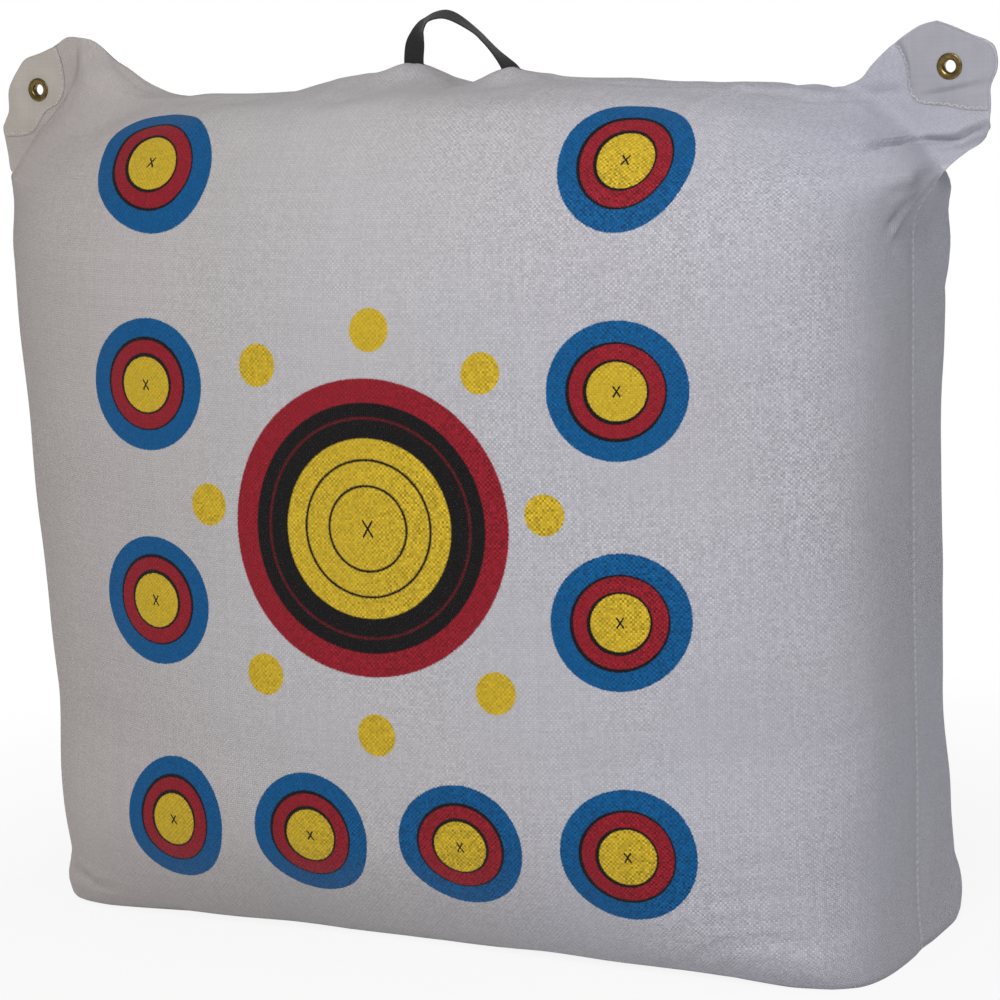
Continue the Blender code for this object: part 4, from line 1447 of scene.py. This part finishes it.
@dataclass
class EarTrim:
    """What is sewn and pressed on one ear: a patch and its stitches on each face, the grommet and its washer."""

    side: Side
    cover: Cover
    thickness: float = 0.0005
    gap: float = 0.00012
    stitch: float = 0.0030
    stitch_gap: float = 0.0004
    thread: float = 0.00054
    inset: float = 0.0022
    zigzag: float = 0.0012
    turn_steps: int = 72
    patch_steps: int = 46
    puff: float = 0.00035
    puff_steps: float = 5.0
    bead: tuple[int, int] = (7, 8)
    bead_share: float = 0.92
    bead_flat: float = 0.8
    bead_lift: float = 0.00030
    barrel: Knots = knots(2,
        10.3, -1.85, 10.36, -2.15, 10.26, -2.5, 9.9, -2.78, 9.3, -2.93, 8.5, -2.94, 7.4, -2.84, 6.4, -2.62,
        5.6, -2.22, 5.1, -1.6, 4.9, -0.8, 4.9, 3, 5.08, 3.45, 5.48, 3.64, 5.96, 3.62, 6.36, 3.4, 6.48, 3.05,
        6.32, 2.86, 5.9, 2.9, 5.56, 2.62, 5.48, 2, 5.48, -1, 5.8, -1.7, 7, -1.84,
    )
    washer: Knots = knots(2,
        5.8, 1.78, 10, 1.76, 10.28, 1.84, 10.34, 2.02, 10.2, 2.26, 9.6, 2.46, 8.6, 2.55, 7.4, 2.52, 6.4, 2.44,
        5.8, 2.32,
    )

    @property
    def word(self) -> str:
        """The side's name."""
        return self.side.name.lower()

    def patch_sheet(self, face: Face) -> Cloth:
        """The patch on one face: it follows the ear's drape, and its edges are pressed down to the ear."""
        steps = self.patch_steps
        flat = PATCHES[self.side].grid(steps)
        away = np.minimum(*(np.minimum(k, steps - k) for k in np.mgrid[: steps + 1, : steps + 1])).ravel()
        x, z = flat.reshape(-1, 2).T
        puff = self.puff * ease(0.0, self.puff_steps, away)
        lift = self.cover.ply_offset + self.gap + self.thickness + puff
        points = np.stack([x, -lift, z], axis=1)
        points[:, 1] += self.cover.drape(points) * -face.value
        faces = grid_faces(steps + 1, steps + 1)
        if self.side is Side.LEFT:
            faces = faces[:, ::-1]
        points, faces = on_face(points, faces, face)
        chart = np.stack([x, z], axis=1)
        return Cloth(points, faces, chart, surface_normals(points, faces))

    def stitches(self, face: Face) -> ArrayPair:
        """Zigzag row of thread along the patch's inner edges: each stitch a long bead.

        Args:
            face: which face of the ear.

        Returns:
            Points and quads of all the stitches.
        """
        patch = PATCHES[self.side]
        edge = np.concatenate([np.array(patch.inner)[::-1], np.array(patch.lower)[1:]])
        centre = np.mean(np.array(patch.outer), axis=0)
        line = smooth_line(edge, 300)
        inward = centre - line
        line = line + self.inset * inward / np.linalg.norm(inward, axis=1, keepdims=True)
        length = np.linalg.norm(np.diff(line, axis=0), axis=1).sum()
        count = int(length / (self.stitch + self.stitch_gap))
        line = respace(line[None], count)[0]
        run = unit(np.gradient(line, axis=0))
        side = np.stack([-run[:, 1], run[:, 0]], axis=1)
        swing = self.zigzag * np.where(np.arange(count + 1) % 2, 1.0, -1.0)[:, None]
        knots = line + side * swing
        start, end = knots[:-1], knots[1:]
        share = np.linspace(-1.0, 1.0, self.bead[0])
        turn = np.linspace(0.0, FULL_TURN, self.bead[1], endpoint=False)
        bulk = np.sqrt(np.clip(1.0 - np.abs(share) ** 4, 0.02, 1.0))
        middle, half = (start + end) / 2.0, (end - start) / 2.0 * self.bead_share
        across = np.stack([-half[:, 1], half[:, 0]], axis=1)
        across = unit(across)
        flat = (
            middle[:, None, None]
            + half[:, None, None] * share[None, :, None, None]
            + across[:, None, None] * (self.thread * bulk[:, None] * np.cos(turn))[None, ..., None]
        )
        lift = self.cover.ply_offset + self.gap + self.thickness + self.bead_lift
        y = -lift - self.thread * self.bead_flat * bulk[:, None] * np.sin(turn)[None, :]
        points = np.stack([flat[..., 0], np.broadcast_to(y, flat.shape[:3]), flat[..., 1]], axis=-1)
        stitches, rings, around = points.shape[:3]
        quads = capped_tube(points[0])
        quads = (quads[None] + (np.arange(stitches) * rings * around)[:, None, None]).reshape(-1, 4)
        points = points.reshape(-1, 3)
        points[:, 1] += self.cover.drape(points) * -face.value
        return on_face(points, quads, face)

    def turned(self, profile: Knots) -> ArrayPair:
        """Closed profile of (radius, y) turned about the hole's axis.

        Args:
            profile: points once round the section.

        Returns:
            Points and quads.
        """
        ear = EARS[self.side]
        loop = np.array(profile + profile[:1])
        section = smooth_line(loop, 3 * len(profile))[:-1]
        turn = np.linspace(0.0, FULL_TURN, self.turn_steps, endpoint=False)
        x = ear.hole[0] * self.side.value + section[None, :, 0] * np.cos(turn)[:, None]
        z = ear.hole[1] + section[None, :, 0] * np.sin(turn)[:, None]
        y = np.broadcast_to(section[None, :, 1], x.shape)
        points = np.stack([x, y, z], axis=-1)
        index = np.arange(points.size // 3).reshape(points.shape[:2])
        return points.reshape(-1, 3), quads_of(np.pad(index, ((0, 1), (0, 1)), mode="wrap"))

    def build(self, cloth: Material, thread: Material, brass: Material) -> None:
        """Make the patches, stitches, grommet and washer of this ear."""
        for face in Face:
            name = face.name.lower()
            sheet = self.cover.pierce(self.patch_sheet(face), self.side)
            shell = sheet.shell(self.thickness)
            item = shell.piece(f"{self.word}_ear_{name}_patch_cloth", cloth)
            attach(item, f"{self.word}_ear")
            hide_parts(f"{self.word}_ear_{name}_patch")
            points, quads = self.stitches(face)
            item = make_piece(f"{self.word}_ear_{name}_stitches", points, quads, thread)
            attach(item, f"{self.word}_ear")
        for label, profile in (("grommet", self.barrel), ("grommet_washer", self.washer)):
            points, quads = self.turned(profile)
            item = make_piece(f"{self.word}_{label}_brass", points, quads, brass, crease=60.0)
            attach(item, f"{self.word}_ear")
            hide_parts(f"{self.word}_{label}")


@dataclass
class Handle:
    """Loop of black webbing sewn into the seam at both ends.

    The twist is how far it is turned from flat to the front, in degrees, at shares of its length.
    """

    width: float = 0.0200
    thickness: float = 0.0016
    steps: int = 190
    around: int = 28
    edge_powers: Pair = (0.35, 0.60)
    path: Knots = knots(3,
        -46, 0, 714.5, -46, 0, 726, -46.1, 0, 734, -44.4, 0, 745.5, -40.4, 0, 756.6, -35.6, 0, 762.9,
        -28.1, 0, 768.4, -16.2, 0, 770.2, -3.8, 0, 766, 13.5, 0, 754.7, 22.1, 0, 746.9, 30.6, 0, 738.4,
        38.5, 0, 730.3, 44, 0, 723.5, 47, 0, 714.5,
    )
    twist: Knots = (
        (0.000, 6.5), (0.100, 7.5), (0.190, 10.0), (0.250, 28.0), (0.300, 46.0), (0.345, 62.0), (0.390, 68.0),
        (0.440, 70.0), (0.530, 82.0), (0.660, 94.0), (0.730, 97.0), (0.806, 94.0), (0.880, 84.0), (0.940, 70.0),
        (0.970, 52.0), (1.000, 30.0),
    )

    def build(self, webbing: Material) -> None:
        """Make the strap: a flat oval carried along the path, turned about it by the twist."""
        path = smooth_line(self.path, self.steps)
        run = unit(np.gradient(path, axis=0))
        share = np.linspace(0.0, 1.0, self.steps + 1)
        turn = np.radians(np.interp(share, *smooth_line(self.twist, self.steps).T))
        plane = np.stack([run[:, 2], 0.0 * share, -run[:, 0]], axis=1)
        depth = np.tile([0.0, -1.0, 0.0], (self.steps + 1, 1))
        wide = plane * np.cos(turn)[:, None] + depth * np.sin(turn)[:, None]
        thick = np.cross(run, wide)
        angle = np.linspace(0.0, FULL_TURN, self.around, endpoint=False)
        waves, sizes = (np.cos(angle), np.sin(angle)), (self.width, self.thickness)
        flat, tall = (
            np.sign(wave) * np.abs(wave) ** power * size / 2.0
            for wave, power, size in zip(waves, self.edge_powers, sizes)
        )
        rings = path[:, None] + wide[:, None] * flat[None, :, None] + thick[:, None] * tall[None, :, None]
        length = np.linalg.norm(np.diff(path, axis=0), axis=1).sum()
        chart = np.stack(np.broadcast_arrays(flat[None, :], share[:, None] * length), axis=-1)
        item = make_piece(
            "handle_webbing", rings.reshape(-1, 3), capped_tube(rings), webbing, chart.reshape(-1, 2)
        )
        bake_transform(item)
        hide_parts("handle_strap", "handle_left_tail", "handle_right_tail")


@dataclass
class Filling:
    """What the cover holds: a cloth liner, loose fibre, and a core of folded woven layers."""

    cover: Cover
    layers: int = 4
    liner_gap: float = 0.0006
    liner_thickness: float = 0.0005
    liner_end: float = -0.0065
    fill_gap: float = 0.0040
    core_half: float = 0.0535
    core_width: float = 0.358
    core_height: float = 0.330
    waist: float = 0.360
    batt_half: Pair = (0.40, 0.36)
    batt_power: int = 8
    batt_share: float = 0.88
    batt_limit: float = 0.97
    batt_depth: float = 0.975
    tufts: tuple[Pair, ...] = ((0.0022, 0.070), (0.0012, 0.030))
    layer_power: int = 9
    layer_drop: float = 0.010
    layer_gap: float = 0.0004
    layer_steps: int = 40
    ply_swell: float = 0.0006
    rim_reach: float = 0.004

    def liner(self, face: Face) -> Cloth:
        """One half of the liner: the cover's own surface moved in along its normals, cut straight below each ear."""
        body = self.cover.index()[0]
        cloth = self.cover.half(face)
        keep = (cloth.faces < body.size).all(axis=1)
        for ear in EARS.values():
            out = ear.spread(cloth.points[:, 0], cloth.points[:, 2])
            keep &= (out < self.liner_end)[cloth.faces].all(axis=1)
        cloth = cloth.part(keep)
        points = cloth.points - cloth.normals * (self.cover.thickness + self.liner_gap)
        rim = np.zeros(len(points), bool)
        rim[np.unique(rim_edges(cloth.faces))] = True
        for side, ear in EARS.items():
            out = ear.spread(points[:, 0], points[:, 2])
            short = np.where(rim, np.minimum(self.liner_end - 0.005 - out, 0.0), 0.0)
            points[:, 0] += short * ear.outward[0] * side.value
            points[:, 2] += short * ear.outward[1]
        return Cloth(points, cloth.faces, cloth.chart, cloth.normals)

    def batt(self, face: Face) -> ArrayPair:
        """Loose fill on one side of the core: the bag's own bulge drawn in, with a flat back on the core.

        Args:
            face: front or back of the bag.

        Returns:
            Points and quads of the closed body. Each place is drawn towards the bag's middle so far
            that it stays within a rounded box, the superellipse of power 8.
        """
        grid = self.cover.form.dish()[::2, ::2]
        rows, columns = grid.shape[:2]
        points = grid.reshape(-1, 3)
        x, y, z = points[:, 0], -points[:, 1], points[:, 2] - self.waist
        half_x, half_z = self.batt_half
        power = self.batt_power
        reach = ((np.abs(x) / half_x) ** power + (np.abs(z) / half_z) ** power) ** (1.0 / power)
        share = self.batt_share * np.minimum(1.0, self.batt_limit / np.maximum(reach, 1e-6))
        x, z = x * share, self.waist + z * share
        (tall, long), (low, short) = self.tufts
        lump = tall * drift(points, long, 5) + low * drift(points, short, 9)
        out = np.maximum(self.batt_depth * y - self.fill_gap + lump, self.core_half + 0.0010)
        front = np.stack([x, -out, z], axis=1)
        back = np.stack([x, np.full(len(x), -self.core_half + 0.0008), z], axis=1)
        faces = doubled(grid_faces(rows, columns), len(points))
        return on_face(np.concatenate([front, back]), faces, face)

    def layer(self, number: int) -> ArrayPair:
        """One folded layer of the core: a slab with a superellipse outline of power 9 and a rim of folded plies.

        Args:
            number: place in the stack, 1 at the front.

        Returns:
            Points and quads of the closed body.
        """
        steps, power = self.layer_steps, self.layer_power
        half = self.core_half / self.layers - self.layer_gap
        line = np.linspace(-1.0, 1.0, steps + 1)
        u, v = (k.ravel() for k in np.meshgrid(line, line))
        large = np.maximum(np.abs(u), np.abs(v))
        share = large / np.maximum((np.abs(u) ** power + np.abs(v) ** power) ** (1.0 / power), 1e-9)
        x, z = self.core_width * u * share, self.waist - self.layer_drop + self.core_height * v * share
        middle = (2 * number - 1 - self.layers) * self.core_half / self.layers
        swell = self.ply_swell * drift(np.stack([x, 0.0 * x, z], axis=1), 0.09, 60 + number) - self.ply_swell
        faces = grid_faces(steps + 1, steps + 1)
        grid = np.arange((steps + 1) ** 2).reshape(steps + 1, steps + 1)
        loop = np.concatenate([grid[0, :-1], grid[:-1, -1], grid[-1, :0:-1], grid[:0:-1, 0]])
        around, rings = np.linspace(-90.0, 90.0, 13)[1:-1], []
        for angle in np.radians(around):
            reach = self.rim_reach * np.cos(angle) * (1.0 + 0.25 * np.cos(6.0 * angle))
            out = 1.0 + reach / np.hypot(x[loop], z[loop] - self.waist)
            rings.append(
                np.stack([x[loop] * out, np.full(len(loop), middle + half * np.sin(angle)),
                          self.waist + (z[loop] - self.waist) * out], axis=1)
            )
        count, width = grid.size, len(loop)
        levels = [loop] + [2 * count + k * width + np.arange(width) for k in range(len(rings))] + [count + loop]
        walls = [
            np.stack([near, far, np.roll(far, -1), np.roll(near, -1)], axis=1)
            for near, far in zip(levels[:-1], levels[1:])
        ]
        front = np.stack([x, middle - half - swell, z], axis=1)
        back = np.stack([x, middle + half + swell, z], axis=1)
        points = np.concatenate([front, back] + rings)
        return points, np.concatenate([faces, faces[:, ::-1] + count] + [wall[:, ::-1] for wall in walls])

    def build(self) -> None:
        """Make the liner, the loose fill and the layers of the core."""
        pale = (206, 204, 200)
        liner = FineCloth("liner_cloth", colour=pale, warm=pale, pitch=0.0016, roughness=0.7).make()
        fibre = Fibre("shredded_fibre").make()
        layer = Fibre(
            "folded_layer", colour=(186, 184, 180), second=(168, 166, 164), rate=160.0, relief=0.0005, roughness=0.7
        ).make()
        for face, word in ((Face.FRONT, "front"), (Face.BACK, "rear")):
            name = face.name.lower()
            shell = self.liner(face).shell(self.liner_thickness)
            item = shell.piece(f"liner_{name}", liner)
            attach(item, "bag")
            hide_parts(f"liner_{name}_panel")
            points, faces = self.batt(face)
            item = make_piece(f"fill_{word}", points, faces, fibre)
            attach(item, "bag")
            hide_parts(f"fill_{word}_batt")
        for number in range(1, self.layers + 1):
            points, faces = self.layer(number)
            item = make_piece(f"core_layer_{number}_cloth", points, faces, layer)
            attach(item, "bag")
            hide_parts(f"core_layer_{number}")


# Studio


@dataclass(frozen=True)
class Studio:
    """Floor, soft lamps and the camera at the photograph's angle."""

    eye: Point = (1.25675, -2.48206, 0.79165)
    aim: Point = (0.0, 0.0, 0.3455)
    roll: float = -0.0396
    lens: float = 118.57
    shift: Pair = (0.0192, 0.0155)
    sky: float = 0.30
    key: float = 43.0
    warm: float = 8.0
    fill: float = 10.0
    shown: float = 0.88
    shown_span: Pair = (0.45, 1.05)
    floor_half: float = 9.0
    lamp_aim: Point = (0.0, 0.0, 0.38)

    def floor(self) -> None:
        """Pale floor that keeps the object's shadow; the camera sees most of it as plain white."""
        edge = self.floor_half
        points = np.array([[-edge, -edge, 0.0], [edge, -edge, 0.0], [edge, edge, 0.0], [-edge, edge, 0.0]])
        shade = Shade("pale_floor")
        shade.surface.inputs["Roughness"].default_value = 0.9
        shade.surface.inputs["Specular IOR Level"].default_value = 0.1
        glints_and_grain = shade.noise(shade.place(), 40.0, 3.0)
        tone = shade.ramp(glints_and_grain, 0.3, 0.7, 0.97, 1.0)
        shade.tree.links.new(shade.scaled((0.86, 0.86, 0.87, 1.0), tone), shade.surface.inputs["Base Color"])
        plain = shade.node("Emission", {"Color": (1.0, 1.0, 1.0, 1.0), "Strength": 1.0})
        sight = self.sight(shade)
        far = shade.ramp(shade.vector("LENGTH", shade.place(), result=1), *self.shown_span, self.shown, 1.0)
        share = shade.times(sight, far)
        mixed = shade.node("MixShader", {0: share, 1: shade.surface.outputs[0], 2: plain})
        output = next(n for n in shade.tree.nodes if n.type == "OUTPUT_MATERIAL")
        shade.tree.links.new(mixed, output.inputs["Surface"])
        item = make_piece("floor", points, np.array([[0, 1, 2, 3]]), shade.material)

    def sight(self, shade: Shade) -> Socket:
        """1 for rays that show a thing to the camera: straight, reflected or passed through."""
        sight = shade.node("LightPath", {}, "Is Camera Ray")
        for ray in ("Is Glossy Ray", "Is Transmission Ray"):
            sight = shade.most(sight, shade.node("LightPath", {}, ray))
        return sight

    def world(self) -> None:
        """Even pale light from all round, seen by the camera as white."""
        world = bpy.data.worlds.new("studio")
        world.use_nodes = True
        bpy.context.scene.world = world
        tree = world.node_tree
        tree.nodes.clear()
        kinds = ("LightPath", "MixShader", "OutputWorld")
        path, mix, output = (tree.nodes.new("ShaderNode" + kind) for kind in kinds)
        tree.links.new(path.outputs["Is Camera Ray"], mix.inputs[0])
        for slot, strength, colour in ((1, self.sky, (0.97, 0.98, 1.0, 1.0)), (2, 1.0, (1.0, 1.0, 1.0, 1.0))):
            light = tree.nodes.new("ShaderNodeBackground")
            light.inputs["Strength"].default_value = strength
            light.inputs["Color"].default_value = colour
            tree.links.new(light.outputs[0], mix.inputs[slot])
        tree.links.new(mix.outputs[0], output.inputs["Surface"])

    def lamp(self, name: str, place: Point, size: float, power: float, colour: Colour) -> None:
        """Soft square lamp turned towards the middle of the bag."""
        light = bpy.data.lights.new(name, "AREA")
        light.size, light.energy, light.color = size, power, colour
        item = bpy.data.objects.new(name, light)
        item.location = place
        item.rotation_euler = (Vector(self.lamp_aim) - Vector(place)).to_track_quat("-Z", "Y").to_euler()
        bpy.context.scene.collection.objects.link(item)

    def camera(self) -> None:
        """Camera turned to its aim, then rolled about its own axis."""
        sight = bpy.data.cameras.new("camera")
        sight.lens, sight.sensor_width = self.lens, 36.0
        sight.sensor_fit = "HORIZONTAL"
        sight.shift_x, sight.shift_y = self.shift
        sight.clip_start, sight.clip_end = 0.05, 60.0
        item = bpy.data.objects.new("camera", sight)
        turn = (Vector(self.aim) - Vector(self.eye)).to_track_quat("-Z", "Y").to_matrix()
        item.matrix_world = Matrix.Translation(self.eye) @ (turn @ Matrix.Rotation(self.roll, 3, "Z")).to_4x4()
        bpy.context.scene.collection.objects.link(item)
        bpy.context.scene.camera = item

    def build(self) -> None:
        """Set the stage."""
        bpy.context.scene.view_settings.view_transform = "Standard"
        self.floor()
        self.world()
        self.lamp("key_lamp", (0.8, -2.25, 1.95), 1.1, self.key, (0.98, 0.98, 1.0))
        self.lamp("warm_lamp", (-3.6, -1.8, 1.4), 1.8, self.warm, (1.0, 0.93, 0.86))
        self.lamp("top_lamp", (0.2, 0.4, 3.4), 2.2, self.fill, (0.98, 0.98, 1.0))
        self.camera()


TARGETS = TargetPrint(
    spots=(
        PrintSpot(-0.2271, 0.8152, 0.0595, 0.077, 0.825),
        PrintSpot(0.2104, 0.812, 0.0539, 0.0653, 0.102),
        PrintSpot(-0.2126, 0.6213, 0.0549, 0.0604, -1.051),
        PrintSpot(0.2155, 0.6236, 0.0557, 0.0571, 1.317),
        PrintSpot(-0.215, 0.4366, 0.0546, 0.0572, -1.168),
        PrintSpot(0.2127, 0.4395, 0.0559, 0.0574, 1.409),
        PrintSpot(-0.2092, 0.2454, 0.0477, 0.06, -0.494),
        PrintSpot(-0.0741, 0.251, 0.0515, 0.058, -0.504),
        PrintSpot(0.0644, 0.2523, 0.0538, 0.0566, -1.219),
        PrintSpot(0.2111, 0.2471, 0.0559, 0.0583, 0.975),
    ),
    dots=(
        PrintSpot(0.0083, 0.6742, 0.0171, 0.0176, -0.711),
        PrintSpot(-0.0975, 0.6435, 0.0168, 0.0181, -0.567),
        PrintSpot(0.1045, 0.6403, 0.0161, 0.017, -0.624),
        PrintSpot(-0.153, 0.5249, 0.017, 0.0179, -0.451),
        PrintSpot(0.1536, 0.5271, 0.0165, 0.017, 0.568),
        PrintSpot(-0.1019, 0.388, 0.017, 0.0174, -0.419),
        PrintSpot(0.1066, 0.3833, 0.0173, 0.0174, 0.94),
        PrintSpot(-0.0015, 0.3444, 0.0165, 0.0176, 0.166),
    ),
    bullseye=PrintSpot(-0.0006, 0.5141, 0.1208, 0.125, -1.084),
)


def main() -> None:
    """Build the pieces in order, then the studio."""
    logging.basicConfig(level=logging.INFO, format="%(name)s: %(message)s")
    cover = Cover()
    printed = WovenPlastic("printed_front_cloth", design=TARGETS).make()
    plain = WovenPlastic("plain_back_cloth").make()
    cover.build({Face.FRONT: printed, Face.BACK: plain})
    patch = FineCloth("patch_cloth").make()
    thread = Fibre(
        "white_thread", colour=(214, 212, 212), second=(196, 194, 194), rate=500.0, relief=0.0002, roughness=0.6
    ).make()
    brass = Brass().make()
    for side in Side:
        EarTrim(side, cover).build(patch, thread, brass)
    Handle().build(Webbing().make())
    Filling(cover).build()
    Studio().build()
    log.info("finished")


if __name__ == "__main__":
    main()
